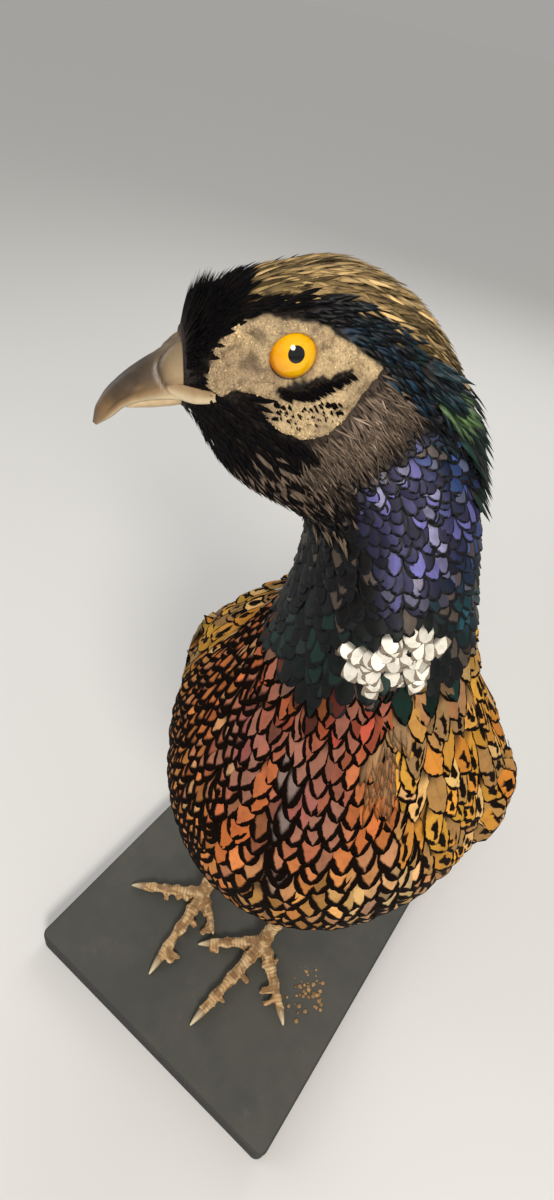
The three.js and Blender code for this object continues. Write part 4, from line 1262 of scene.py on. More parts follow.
def on_tail(along, left, above):
    """A point of the tail: along it from its root, to the bird's left of its middle, and above its top."""
    along, left, above = (np.asarray(x, float) for x in np.broadcast_arrays(along, left, above))
    centre = body(0, np.arange(0, 360, 7.5)).mean(0)
    height = TAIL["lift"] + above - TAIL["sag"] * (along / TAIL["length"]) ** 2 - TAIL["roof"] * np.abs(left)
    back = along - TAIL["root_inset"]
    droop, turn = math.radians(-TAIL["droop"]), math.radians(TAIL["turn"])
    y = back * math.cos(droop) - height * math.sin(droop)
    z = back * math.sin(droop) + height * math.cos(droop)
    x, y = left * math.cos(turn) - y * math.sin(turn), left * math.sin(turn) + y * math.cos(turn)
    return np.stack([x, y, z], -1) + centre


def lay_tail(finish, rng):
    """Nine pairs of tail feathers, each pair shorter, lower and further out than the one above it."""
    shape = [(i / TAIL_STATIONS, 1.0) for i in range(TAIL_STATIONS)] + [(1, 0)]
    share = np.array([v for v, _ in shape])
    lengths, lefts, halves, tops = [], [], [], []
    for pair in range(TAIL["pairs"]):
        for sign in (1, -1):
            length = TAIL["length"] * TAIL["shortening"] ** pair - (6 if sign < 0 else 2)
            along = share * length
            lefts.append(sign * (1.2 + pair * 1.9 + along * math.tan(math.radians(0.25 + pair * 0.55))))
            taper = np.interp(share, [0, 0.12, 0.35, 0.75, 0.95, 1], [0.35, 0.8, 1, 0.62, 0.26, 0])
            halves.append(taper * (15.5 - pair * 0.75))
            lengths.append(along)
            tops.append(2.2 - pair * 0.55 + (0.25 if sign > 0 else 0) - 0.4 * share)
    along, left, half, top = (np.array(x) for x in (lengths, lefts, halves, tops))
    sides = []
    ragged = 1 + 0.05 * rng.normal(size=half.shape) * (share > 0.3)
    for offset, level in ((-1, -0.8), (0, 0.0), (1, -0.8), (0, -0.5)):
        curve = half / 14 if offset else 1
        sides.append(on_tail(along, left + offset * half * ragged, top + level * curve))
    points = np.stack(sides, 2)
    count = len(along)
    tint = np.tile(mix(TAN, STRAW, 0.45), (count, 1)) * np.exp(rng.normal(0, 0.08, count))[:, None]
    patch = np.stack([0.2 + 0.6 * np.arange(count) / count, np.full(count, 0.004)], 1)
    piece = vane_mesh("tail_feathers", shape, points, finish, tint,
                      marks_of(count, 0.0, 0.7, 1.0), patch)
    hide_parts("tail_central", "tail_l", "tail_r")


def lay_ear_tufts(finish, rng):
    """The short green tufts that stand up behind the crown."""
    count = 70
    for side, sign in SIDES:
        place = rng.uniform(13.9, 14.8, count)
        angle = sign * rng.uniform(40, 51, count)
        green = (rng.random(count) < 0.7) * smooth(14.5, 14.2, place) * rng.uniform(0.3, 1, count)
        colour = mix(mix(BLACK, DEEP_TEAL, 0.3 * rng.random((count, 1))), EAR_GREEN, green[:, None])
        tip = 3.0 + 3.5 * rng.random(count)
        piece = feathers(f"ear_tuft_feathers_{side}", place, angle, 12.0, 2.0, finish,
                         colour, marks_of(count, 0.05), rng, shape=LANCE, root=-1.0, tip=tip, camber=0.4,
                         thick=0.2, lean=rng.normal(0.05, 0.2, count) * sign)
        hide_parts(f"ear_tuft_{side}")


def lay_hackles(finish, rng):
    """Loose dark plumes that stand away from the back of the neck."""
    count = 60
    place = rng.uniform(12.6, 13.9, count)
    angle = rng.uniform(10, 50, count)
    colour = mix(BOTTLE_GREEN, BLACK, rng.random((count, 1)))
    feathers("hackle_feathers", place, angle, 15.0, 2.4, finish, colour,
             marks_of(count, 0.0), rng, shape=LANCE, root=-1.5, tip=2.5 + 2.0 * rng.random(count), camber=0.4,
             thick=0.25)


def lay_thigh_feathers(finish, rng):
    count = 420
    for side, leg in THIGHS.items():
        place = 1.3 - np.sqrt(rng.uniform(0.0, 1, count)) * 1.22
        angle = rng.uniform(-180, 180, count)
        upper = smooth(0.75, 1.1, place)
        tint = mix(TAN * 0.7, COPPER, 0.7 * upper[:, None]) * np.exp(rng.normal(0, 0.2, (count, 1)))
        length, width = mix(11.0, 15.0, upper), mix(8.0, 10.0, upper)
        feathers(f"thigh_feathers_{side}", place, angle, length, width, finish, tint,
                 marks_of(count, 0.12), rng, root=-2.0, tip=0.0, camber=0.6, surface=thigh_surface(leg),
                 over=lambda place, angle: 0 * place)


# ---------------------------------------------------------------- eyes and bill

IRIS_YELLOW = paint("#eab206")
IRIS_ORANGE = paint("#e0680e")
IRIS_STREAK = paint("#c98a02")
IRIS_RIM = paint("#a35d08")
EYE_COLUMNS, EYE_ROWS = 48, 26
GAZE = {"ahead": 1, "up": 14}
# Radii in shares of the ball's, and the angles about the gaze of the deeper colour below.
PUPIL, IRIS, LIMBUS = 0.275, 0.74, 0.84
GLOW_ANGLE = {"l": 205, "r": -25}


def make_eye_finish():
    material, tree, shader = new_finish("glass_eye", Roughness=0.08, Coat_Weight=0.5, Coat_Roughness=0.02,
                                        Specular_IOR_Level=0.3)
    rings = add(tree, "ShaderNodeSeparateColor", {0: attribute(tree, "rings")}).outputs
    out, low = rings["Red"], rings["Green"]
    streaks = step(tree, noise(tree, 700.0, 3.0), 0.4, 0.75)
    rim = step(tree, out, IRIS - 0.08, IRIS + 0.08)
    iris = blended(tree, times(tree, low, 0.9), IRIS_YELLOW, IRIS_ORANGE)
    iris = blended(tree, times(tree, streaks, 0.35), iris, IRIS_STREAK)
    iris = blended(tree, times(tree, rim, 0.75), iris, IRIS_RIM)
    colour = blended(tree, step(tree, out, PUPIL - 0.012, PUPIL + 0.012), (0.003, 0.003, 0.003), iris)
    colour = blended(tree, step(tree, out, LIMBUS - 0.03, LIMBUS + 0.02), colour, (0.012, 0.008, 0.006))
    tree.links.new(colour, shader.inputs["Base Color"])
    return material


def make_eyes(material):
    """Two glass balls; their rings hold each point's distance from the gaze and how far it faces down."""
    polar = np.linspace(0.02, math.pi - 0.02, EYE_ROWS * 2)
    around = np.linspace(0, 2 * math.pi, EYE_COLUMNS, endpoint=False)
    radius = EYE["radius"] * (1 + 0.03 * np.exp(-((polar / 0.6) ** 2)))
    out = np.where(polar > math.pi / 2, 1.0, np.sin(np.minimum(polar, math.pi / 2)))[:, None]
    ahead, up = math.radians(GAZE["ahead"]), math.radians(GAZE["up"])
    for side, sign in SIDES:
        centre = on_head(sign * EYE["lateral"], EYE["forward"], EYE["height"])
        aim = on_head(sign * math.cos(ahead) * math.cos(up), math.sin(ahead) * math.cos(up), math.sin(up))
        aim = aim - on_head(0, 0, 0)
        across = np.cross(on_head(0, 0, 1) - on_head(0, 0, 0), aim)
        across /= length_of(across)
        high = np.cross(aim, across)
        ring = across * np.cos(around)[:, None] + high * np.sin(around)[:, None]
        points = aim * np.cos(polar)[:, None, None] + ring * np.sin(polar)[:, None, None]
        rings = centre + points * radius[:, None, None]
        piece = tube_piece(f"glass_eye_{side}", rings, material)
        down = np.radians(GLOW_ANGLE[side])
        low = np.clip(0.75 * np.cos(around - down) - 0.1, 0, 1) * out
        rings = np.stack([out + 0 * low, low, 0 * low], -1).reshape(-1, 3)
        paint_points(piece, "rings", np.concatenate([rings, [[0, 0, 0], [1, 0, 0]]]))
        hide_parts(f"eye_{side}")


# Bill stations: the ridge and the cutting edge as forward and height, and the half width.
UPPER_BILL = np.array([
    [38.6, 390.5, 37.6, 379.2, 10.4], [42.7, 391.3, 42.1, 378.2, 8.2], [49.0, 386.6, 47.0, 376.9, 6.7],
    [55.5, 381.8, 52.5, 375.2, 5.3], [61.0, 376.6, 57.5, 372.4, 3.8], [64.8, 370.6, 61.5, 368.0, 2.3],
    [66.0, 365.1, 65.0, 364.5, 0.8],
])
LOWER_BILL = np.array([
    [42.2, 377.5, 41.9, 372.8, 7.0], [47.0, 376.2, 46.6, 371.6, 5.9], [52.3, 374.4, 51.8, 370.8, 4.4],
    [57.0, 371.8, 56.6, 370.2, 2.2],
])
BILL_GAP = 0.3
BILL_ROWS, BILL_COLUMNS = 64, 44
BILL_CREAM = paint("#e0cba4")
BILL_TAN = paint("#b99e76")
BILL_AMBER = paint("#a8804f")
BILL_BROWN = paint("#44321f")
BILL_GREY = paint("#8f7c66")
NOSTRIL = {"along": 0.2, "around": 50, "length": 0.125, "height": 34}
# Middle line of the horny edge that runs back from the gape, with its half height.
GAPE = [(3.0, 49.0, 378.6, 1.0), (6.9, 44.5, 379.2, 2.0), (10.4, 40.5, 379.7, 2.3), (12.4, 37.4, 380.3, 2.0),
        (13.7, 34.9, 381.0, 1.5), (14.0, 33.0, 381.6, 0.4)]


def bill_rings(stations, share, around, above):
    """Rings of half a bill: round over the ridge and nearly flat where the halves meet."""
    sizes = through(stations, share * (len(stations) - 1))
    ridge, edge, half = sizes[:, None, 0:2], sizes[:, None, 2:4], sizes[:, 4, None]
    up, out = np.cos(np.radians(around)), np.sin(np.radians(around))
    meeting, far = (edge, ridge) if above else (ridge, edge)
    rise = up if above else -up
    rise = np.where(rise > 0, rise, 0.25 * rise)
    forward, height = np.moveaxis(meeting + (far - meeting) * rise[None, :, None], -1, 0)
    narrow = 1 - 0.3 * np.maximum(up, 0) if above else 1.0
    return half * np.sign(out) * np.abs(out) ** 0.85 * narrow, forward + BILL_GAP, height


def bill_paint(where, along, side, flap, above):
    """Amber sides, a cream cutting edge with a dark groove over it, and a brown patch before the nostril; the
    groove, a line under the nostril flap and the tint's darkening over the ridge and towards the tip are
    painted shade.
    """
    if not above:
        return mix(BILL_AMBER, BILL_CREAM, (0.6 * smooth(60, 95, side))[..., None])
    uneven = lumps(where, 3.0, 33)
    tint = mix(BILL_AMBER, BILL_CREAM, smooth(80, 92, side)[..., None])
    tint = mix(tint, BILL_TAN, (smooth(0.45, 0.2, along) * smooth(86, 70, side))[..., None])
    tint = mix(tint, BILL_GREY, (0.6 * smooth(30, 10, side) + 0.5 * smooth(0.8, 1.0, along))[..., None])
    brown = window(along, 0.33, 0.74, 0.08) * smooth(78, 62, side + 14 * uneven) * (0.9 + 0.1 * uneven)
    tint = mix(tint, BILL_BROWN, np.clip(0.9 * brown, 0, 1)[..., None])
    # The groove above the cutting edge is painted dark brown: painted shade in the recess the bill's shape
    # carves there.
    groove = np.exp(-(((side - 78 + 5 * along) / 3.5) ** 2)) * window(along, 0.2, 0.8, 0.08)
    tint = mix(tint, BILL_BROWN, (0.75 * groove)[..., None])
    # A painted shadow under the rim of the nostril's flap.
    under = np.exp(-(((flap - 1.1) / 0.12) ** 2)) * ((side > NOSTRIL["around"]) | (along > NOSTRIL["along"]))
    tint = mix(tint, BILL_BROWN, (0.85 * under)[..., None])
    # The tint is multiplied by painted shading: darkest over the ridge, lighter on the sides, and darker
    # towards the tip.
    return tint * (mix(0.4, 0.85, smooth(30, 88, side)) * mix(1.0, 0.7, smooth(0.1, 0.5, along)))[..., None]


def make_bill(material):
    """The bill's two halves, with the flaps over its nostrils and the groove above its cutting edge."""
    share = np.linspace(0, 1, BILL_ROWS) ** 0.9
    around = np.linspace(-180, 180, BILL_COLUMNS, endpoint=False)
    along = share[:, None] + 0 * around
    side = np.abs(around) + 0 * along
    flap = np.hypot((along - NOSTRIL["along"]) / NOSTRIL["length"],
                    (side - NOSTRIL["around"]) / NOSTRIL["height"])
    for name, stations, above in (("bill_upper", UPPER_BILL, True), ("bill_lower", LOWER_BILL, False)):
        left, forward, height = bill_rings(stations, share, around, above)
        where = np.stack([left, forward, height], -1)
        bulge = 0.14 * lumps(where, 2.4, 31)
        if above:
            bulge += 0.9 * smooth(1.1, 0.7, flap) - 0.7 * np.exp(-((flap - 1.14) / 0.14) ** 2)
            bulge += 0.35 * np.exp(-(((side - 94) / 10) ** 2)) * smooth(0.95, 0.8, along)
            bulge -= 0.4 * np.exp(-(((side - 78 + 5 * along) / 5) ** 2)) * smooth(0.9, 0.7, along)
        else:
            bulge += 0.2 * np.exp(-(((side - 84) / 10) ** 2))
        bulge *= smooth(0, 0.06, along) * smooth(1.0, 0.9, along)
        out = 1 + bulge / 7.0
        middle = [values.mean(1, keepdims=True) for values in (forward, height)]
        forward, height = (mix(low, values, out) for low, values in zip(middle, (forward, height)))
        rings = on_head(left * out, forward, height)
        tint = bill_paint(where, along, side, flap, above).reshape(-1, 3)
        piece = tube_piece(f"{name}_horn", rings, material, tint, np.tile(BILL_CREAM, (2, 1)))
        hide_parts(name)


def make_gape(material):
    """The flat horny edges that run back from the bill's corners."""
    line = curve_points(GAPE, 30)
    left, forward, height, tall = (line[:, i, None] for i in range(4))
    thick = np.minimum(1.3, 0.5 * tall)
    around = np.linspace(0, 2 * math.pi, 20, endpoint=False)
    high = np.tile(smooth(-0.5, 0.9, np.sin(around)), 30)[:, None]
    tint = mix(BILL_CREAM, BILL_AMBER, 0.8 * high) * mix(0.8, 0.6, high)
    for side, sign in SIDES:
        rings = on_head(sign * (left + thick * np.cos(around)), forward, height + tall * np.sin(around))
        tube_piece(f"gape_horn_{side}", rings, material, tint)


# ---------------------------------------------------------------- the bare face's warts and flecks

# Each ring's spread and rise; the top and the foot come after them.
DOME_RINGS = [(1.0, -0.35), (0.86, 0.35), (0.45, 0.78)]
DOME_SIDES = 6
DOME_POINTS = len(DOME_RINGS) * DOME_SIDES + 2


def domes(name, base, out, ahead, size, flat, material):
    """Low six-sided domes on points of a surface, as one piece."""
    ahead = ahead / length_of(ahead)[:, None]
    across = np.cross(out, ahead)
    around = (np.arange(DOME_SIDES) * math.pi / (DOME_SIDES / 2))[:, None]
    ring = ahead[:, None] * np.cos(around) + across[:, None] * np.sin(around)
    rings = []
    for spread, rise in DOME_RINGS:
        rings.append(base[:, None] + (ring * spread + out[:, None] * rise * flat) * size[:, None, None])
    top = base[:, None] + out[:, None] * (0.92 * size * flat)[:, None, None]
    low = base[:, None] - out[:, None] * (0.35 * size * flat)[:, None, None]
    points = np.concatenate(rings + [top, low], 1)
    ring = np.arange(DOME_SIDES)
    after = (ring + 1) % DOME_SIDES
    walls = np.stack([ring, after, after + DOME_SIDES, ring + DOME_SIDES], 1)
    upper = 2 * DOME_SIDES
    caps = [np.stack([upper + ring, upper + after, 0 * ring + DOME_POINTS - 2], 1),
            np.stack([after, ring, 0 * ring + DOME_POINTS - 1], 1)]
    offset = (np.arange(len(base)) * DOME_POINTS)[:, None, None]
    walls = np.concatenate([walls, walls + DOME_SIDES])
    faces = [(offset + walls).reshape(-1, 4), (offset + np.concatenate(caps)).reshape(-1, 3)]
    piece = new_piece(name, points.reshape(-1, 3), faces, material)
    point_outwards(piece)
    return piece


WARTS = {"tries": 20000, "kept": 0.62, "size": (0.15, 0.36)}


def face_roots(count, places, angles, rng):
    """Random roots on both sides of the head, and how far forward and high each one lies."""
    place = rng.uniform(*places, count)
    angle = rng.uniform(*angles, count) * np.where(rng.random(count) < 0.5, -1, 1)
    _, forward, height, _, _ = on_slice(place, angle)
    return place, angle, forward, height


def lay_granules(material, rng):
    """The fine warts of the bare face."""
    count = WARTS["tries"]
    place, angle, forward, height = face_roots(count, (14.2, 18.6), (40, 112), rng)
    distance = outside_face(forward, height)
    keep = (distance < -0.2) & (off_eye(forward, height) > 7.4)
    keep &= (off_streak(forward, height) > streak_width(forward)) & (rng.random(count) < WARTS["kept"])
    place, angle, distance = place[keep], angle[keep], distance[keep]
    base = skin(place, angle)
    ahead = skin(place + 0.01, angle) - base
    out = np.cross(skin(place, angle + 0.5) - base, ahead)
    out /= length_of(out)[:, None]
    out *= np.sign((out * (base - body(place, angle, -15))).sum(1))[:, None]
    size = rng.uniform(*WARTS["size"], len(place)) * np.where(distance > -1.6, 1.15, 1.0)
    piece = domes("face_granules", base, out, ahead, size, 0.75, material)
    tint = face_paint(place, angle, np.tile(FACE_CREAM, (len(place), 1)))
    tint = tint * np.exp(rng.normal(0.05, 0.2, len(place)))[:, None]
    paint_points(piece, "tint", np.repeat(np.clip(tint, 0, 1), DOME_POINTS, 0))


FLECK_TRIES = 18000
FLECK_STEP, FLECK_ROW = 1.75, 1.65


def lay_face_flecks(finish, rng):
    """The streak of short black feathers under the eye and the rows of black flecks on the cheek."""
    count = FLECK_TRIES
    place, angle, forward, height = face_roots(count, (14.6, 17.3), (50, 108), rng)
    row = np.floor(height / FLECK_ROW)
    off_step = np.mod(forward / FLECK_STEP + 0.5 * np.mod(row, 2) + 0.1 * np.sin(row * 5), 1.0) - 0.5
    off_row = np.mod(height / FLECK_ROW, 1.0) - 0.5
    cheek = (outside_face(forward, height) < -1.5) & (forward > 2) & (forward < 20.5) & (height > 377.6)
    cheek &= (height < 386.2) & (np.hypot(off_step, off_row) < 0.33) & (off_streak(forward, height) > 3.2)
    cheek &= lumps(np.stack([forward, height, angle * 0 + 3.0], -1), 2.2, 41) > -0.65
    streak = (off_streak(forward, height) < streak_width(forward) - 0.35) & (rng.random(count) < 0.6)
    streak &= off_eye(forward, height) > 7.6
    keep = cheek | streak
    place, angle, long = place[keep], angle[keep], streak[keep]
    tint = np.tile(BLACK * 0.8, (len(place), 1))
    feathers("face_flecks", place, angle, np.where(long, 2.4, 1.1), np.where(long, 0.9, 0.75), finish,
             tint, marks_of(len(place), 0.0), rng, shape=SPIKE, root=-0.6,
             tip=np.where(long, 1.2, 1.0), camber=0.1, lean=0.1)


# ---------------------------------------------------------------- legs and feet

# A flake is the left, forward and height of a torn scrap's end, and its size.
LEGS = {
    "l": {"hock": (28, -27, 76), "foot": (24.5, -4.3, 8.5), "toes": {
        "inner": {"tip": (-8.7, 24.1), "claw": 8, "radius": 4.0},
        "middle": {"tip": (18.0, 61.5), "claw": 10, "radius": 4.3},
        "outer": {"tip": (63.2, 25.3), "claw": 8, "radius": 3.9},
        "hind": {"tip": (19.0, -31.0), "claw": 7, "radius": 3.2}},
        "flakes": [(2.6, 21.8, 4.6, 4.4), (24.0, 17.0, 3.4, 3.2), (30.0, 21.0, 2.8, 2.8),
                   (41.0, 20.0, 3.0, 3.2), (47.0, 23.5, 2.8, 2.4), (38.5, -1.0, 3.2, 2.8),
                   (21.5, 44.0, 3.0, 3.0), (25.0, 39.0, 2.6, 2.4), (28.5, -18.0, 5.0, 3.4),
                   (33.0, 7.0, 4.4, 3.6), (16.0, 8.0, 4.2, 3.4)]},
    "r": {"hock": (-29, -25, 76), "foot": (-26.7, -1.3, 8.5), "toes": {
        "inner": {"tip": (-5.1, 13.0), "claw": 7, "radius": 4.0},
        "middle": {"tip": (-20.9, 57.2), "claw": 10, "radius": 4.3},
        "outer": {"tip": (-69.2, 25.0), "claw": 8, "radius": 3.9},
        "hind": {"tip": (-25.0, -28.0), "claw": 7, "radius": 3.2}},
        "flakes": [(-14.5, 43.0, 2.8, 3.0), (-14.0, 38.5, 2.4, 2.4), (-18.0, 17.0, 3.2, 3.2),
                   (-11.0, 18.0, 2.6, 2.6), (-7.0, 13.0, 3.6, 3.4), (-44.6, 17.0, 3.0, 2.8),
                   (-38.0, 12.0, 3.2, 2.8), (-34.0, 9.0, 4.2, 3.4), (-24.0, -14.0, 5.0, 3.2)]},
}
LEG_TAN = paint("#c49a66")
LEG_SHADOW = paint("#6d4c2a")
LEG_PALE = paint("#e0c79a")
CLAW_ROOT = paint("#8d7250")
CLAW_TIP = paint("#d8c6a2")
SPUR_ROOT = paint("#6b5136")
SPUR_TIP = paint("#c4ad84")
# The shank's radius at each share of its length, and where each toe's joints are.
SHANK_RADII = [(0, 5.4), (0.12, 5.0), (0.3, 3.7), (0.8, 3.7), (1, 4.8)]
TOE_JOINTS = {
    "inner": (0.36, 0.7), "middle": (0.27, 0.54, 0.8), "outer": (0.22, 0.43, 0.63, 0.83), "hind": (0.6,),
}
SHANK_STATIONS, TOE_STATIONS = 60, 40
LEG_VOXEL = 0.75
SCUTE_PITCH = 2.3
WEB_LENGTH = 19
POINTS_AT_ONCE = 20000
SPUR = {"place": 0.6, "radius": 2.9, "length": 12.6, "inwards": 15, "upwards": 10}
HIND_RISE, CLAW_LIFT = 6, 0.3


def toe_line(leg, toe):
    """A toe's middle line from the foot to the claw's root, and each point's share of the toe."""
    foot = np.array(leg["foot"], float)
    start = foot[2] + (HIND_RISE if toe is leg["toes"]["hind"] else 0)
    radius = toe["radius"]
    reach = length_of(toe["tip"] - foot[:2])
    heights = [start, mix(start, radius, 0.5), radius, radius, 0.9 * radius, 0.9 * radius]
    share = np.linspace(0, 1, TOE_STATIONS)
    level = mix(foot[:2], np.array(toe["tip"]), (share * (1 - toe["claw"] / reach))[:, None])
    return np.column_stack([level, np.interp(share, [0, 0.22, 0.5, 0.75, 0.9, 1], heights)]), share


def shank_line(leg):
    bent = np.add(leg["hock"], leg["foot"]) / 2 - [0, 1.0, 0]
    return curve_points([leg["hock"], bent, leg["foot"]], SHANK_STATIONS)


def flake_line(flake, bones, rng):
    """The middle line and radii of a torn scrap of skin that hangs from the nearest toe."""
    end = np.array(flake[:3])
    near = bones[length_of(bones - end).argmin()]
    share = np.linspace(0, 1.15, 9)
    line = near + (end - near) * share[:, None] + rng.normal(0, 0.35, (9, 3)) * [1, 1, 0.3]
    radius = np.interp(share, [0, 0.6, 1, 1.15], [2.6, 0.7 * flake[3], 0.8 * flake[3], 0.3 * flake[3]])
    radius = radius * rng.uniform(0.75, 1.15, 9)
    line[:, 2] = np.maximum(line[:, 2], 0.5 * radius + 0.3)
    return line, radius


def leg_skin(side, leg, material, rng):
    """One dried skin over the shank, the toes and their webs, with scutes along their fronts."""
    share = np.linspace(0, 1, SHANK_STATIONS)
    blobs = [(shank_line(leg), np.interp(share, *zip(*SHANK_RADII)))]
    for name, toe in leg["toes"].items():
        line, at = toe_line(leg, toe)
        knuckle = sum(np.exp(-(((at - joint) / 0.05) ** 2)) for joint in TOE_JOINTS[name])
        radius = toe["radius"] * (mix(1.05, 0.72, at) * (0.84 + 0.24 * knuckle))
        line[:, 2] = np.maximum(line[:, 2], radius * 0.8 + 0.25)
        blobs.append((line, radius))
    pieces = []
    for number, (line, radius) in enumerate(blobs):
        rings = in_row(tube_round(line, radius, 20, 0.82 if number else 1.0))
        pieces.append(tube_piece("leg_part", rings, material))
    pieces.append(web_part(leg, material, rng))
    bones = np.concatenate([line for line, _ in blobs[1:]])
    for flake in leg["flakes"]:
        rings = in_row(tube_round(*flake_line(flake, bones, rng), 12, 0.5))
        pieces.append(tube_piece("leg_part", rings, material))
    whole = pieces[0]
    work = bmesh.new()
    for part in pieces:
        work.from_mesh(part.data)
    work.to_mesh(whole.data)
    work.free()
    for part in pieces[1:]:
        bpy.data.objects.remove(part)
    whole.name = f"leg_skin_{side}"
    remesh = whole.modifiers.new("union", "REMESH")
    remesh.mode, remesh.voxel_size = "VOXEL", LEG_VOXEL * MM
    relax = whole.modifiers.new("relax", "SMOOTH")
    relax.factor, relax.iterations = 0.5, 3
    take_shape(whole)
    scale_leg(whole, blobs)
    whole.data.materials.clear()
    whole.data.materials.append(material)
    whole.data.polygons.foreach_set("use_smooth", np.ones(len(whole.data.polygons), bool))
    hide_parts(f"shank_{side}", f"foot_{side}")


def web_part(leg, material, rng):
    """The shrivelled, torn web between the front toes' roots."""
    foot = np.array(leg["foot"][:2])
    rim = []
    for name in ("inner", "middle", "outer"):
        tip = np.array(leg["toes"][name]["tip"], float)
        rim.append(foot + (tip - foot) / length_of(tip - foot) * WEB_LENGTH)
    outline = [foot]
    for start, end in ((rim[0], rim[1]), (rim[1], rim[2])):
        for share in np.linspace(0, 1, 13):
            sag = (0.42 + rng.normal(0, 0.1)) * math.sin(share * math.pi)
            outline.append(mix(mix(start, end, share), foot, sag))
    outline = np.array(outline)
    bottom = np.column_stack([outline, np.full(len(outline), 1.0)])
    top = np.column_stack([outline, 2.6 + rng.normal(0, 0.5, len(outline))])
    top[0, 2] = 5
    count = len(outline)
    ring, after = np.arange(count), (np.arange(count) + 1) % count
    walls = np.stack([ring, after, after + count, ring + count], 1)
    fan_low = np.array([[0, i + 1, i] for i in range(1, count - 1)])
    fan_high = np.array([[count, count + i, count + i + 1] for i in range(1, count - 1)])
    faces = [walls, fan_low, fan_high]
    part = new_piece("leg_part", in_row(np.concatenate([bottom, top])), faces, material)
    point_outwards(part)
    return part


def read_vectors(items, label):
    """Three numbers for each point of a mesh, such as its place or its normal."""
    values = np.zeros(len(items) * 3, np.float32)
    items.foreach_get(label, values)
    return values.reshape(-1, 3).astype(float)


def scale_leg(piece, blobs):
    """Raises the scutes and wrinkles of a leg's skin, and paints them."""
    points = read_vectors(piece.data.vertices, "co") / MM
    normals = read_vectors(piece.data.vertex_normals, "vector")
    nearest = np.full(len(points), 1e9)
    run, around = np.zeros(len(points)), np.zeros(len(points))
    for number, (line, radius) in enumerate(blobs):
        line = in_row(line)
        along = np.concatenate([[0], np.cumsum(length_of(np.diff(line, axis=0)))])
        radius = np.broadcast_to(radius, (len(line),))
        for start in range(0, len(points), POINTS_AT_ONCE):
            part = slice(start, start + POINTS_AT_ONCE)
            gap = length_of(points[part, None] - line[None])
            at = gap.argmin(1)
            off = gap[np.arange(len(at)), at] / radius[at]
            closer = off < nearest[part]
            nearest[part] = np.where(closer, off, nearest[part])
            step_on = line[np.minimum(at + 1, len(line) - 1)] - line[np.maximum(at - 1, 0)]
            step_on /= length_of(step_on)[:, None]
            further = ((points[part] - line[at]) * step_on).sum(1)
            up = np.array([0, -1.0, 0.15]) if number == 0 else np.array([0, 0, 1.0])
            facing = (normals[part] * up).sum(1)
            run[part] = np.where(closer, along[at] + further, run[part])
            around[part] = np.where(closer, facing, around[part])
    front = smooth(0.0, 0.5, around)
    ridge = np.mod(run / SCUTE_PITCH + 0.45 * lumps(points, 5.0, 53), 1.0)
    worn = 0.35 + 0.65 * smooth(-0.4, 0.5, lumps(points, 6.0, 54))
    scute = (np.where(ridge < 0.8, ridge / 0.8, (1 - ridge) / 0.2) - 0.5) * worn
    cords = lumps(np.stack([run / 6, around * 4, 0 * run], 1), 1.0, 55)
    pebbles = lumps(points, 1.3, 51)
    wrinkles = lumps(points, 3.0, 52)
    rise = front * 0.36 * scute + (1 - front) * 0.28 * pebbles + 0.45 * wrinkles + 0.4 * cords
    low = smooth(BOARD_THICKNESS + 0.2, BOARD_THICKNESS + 1.2, points[:, 2])
    points = points + normals * (rise * low)[:, None]
    points[:, 2] = np.maximum(points[:, 2], BOARD_THICKNESS + 0.02)
    piece.data.vertices.foreach_set("co", (points * MM).astype(np.float32).ravel())
    piece.data.update()
    crease = smooth(0.15, -0.4, front * scute * 1.4 + (1 - front) * pebbles * 0.8)
    tint = mix(LEG_TAN, LEG_PALE, np.clip(0.5 * wrinkles + 0.25, 0, 1)[:, None])
    tint = mix(tint, LEG_SHADOW, (crease * 0.6)[:, None])
    tint = mix(tint, LEG_SHADOW, (0.7 * smooth(0.1, -0.6, cords + 0.6 * wrinkles))[:, None])
    paint_points(piece, "tint", tint)


def make_claws(side, leg, material):
    share = np.linspace(-0.15, 1, 26)
    along = np.clip(share, 0, 1)
    for name, toe in leg["toes"].items():
        line, _ = toe_line(leg, toe)
        flat = (line[-1] - line[-6]) * [1, 1, 0]
        flat /= length_of(flat)
        bend = line[-1] + flat * (share * toe["claw"])[:, None]
        arch = np.sin(along * math.pi * 0.75)
        bend[:, 2] = mix(toe["radius"] * 0.62, 0.75, along**1.3) + 0.75 * arch
        radius = toe["radius"] * 0.55 * (1 - along) ** 0.7 + 0.22
        bend[:, 2] = np.maximum(bend[:, 2], radius * 1.1 + CLAW_LIFT)
        rings = in_row(tube_round(bend, radius, 18, 1.1))
        tint = mix(CLAW_ROOT, CLAW_TIP, np.repeat(along, 18)[:, None])
        piece = tube_piece(f"claw_horn_{side}_{name}", rings, material, tint)
        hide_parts(f"claw_{side}_{name}")


def make_spur(side, sign, leg, material):
    root = mix(np.array(leg["hock"], float), np.array(leg["foot"], float), SPUR["place"])
    inwards, upwards = math.radians(SPUR["inwards"]), math.radians(SPUR["upwards"])
    aim = np.array([-sign * math.sin(inwards), -math.cos(inwards), math.sin(upwards)])
    share = np.linspace(0, 1, 22)
    line = root + aim * (share * (SPUR["length"] + 2))[:, None]
    line[:, 2] += 1.2 * share**2
    rings = in_row(tube_round(line, SPUR["radius"] * (1 - share) ** 0.8 + 0.25, 18))
    tint = mix(SPUR_ROOT, SPUR_TIP, np.repeat(share, 18)[:, None])
    piece = tube_piece(f"spur_horn_{side}", rings, material, tint)
    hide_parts(f"spur_{side}")


# ---------------------------------------------------------------- board

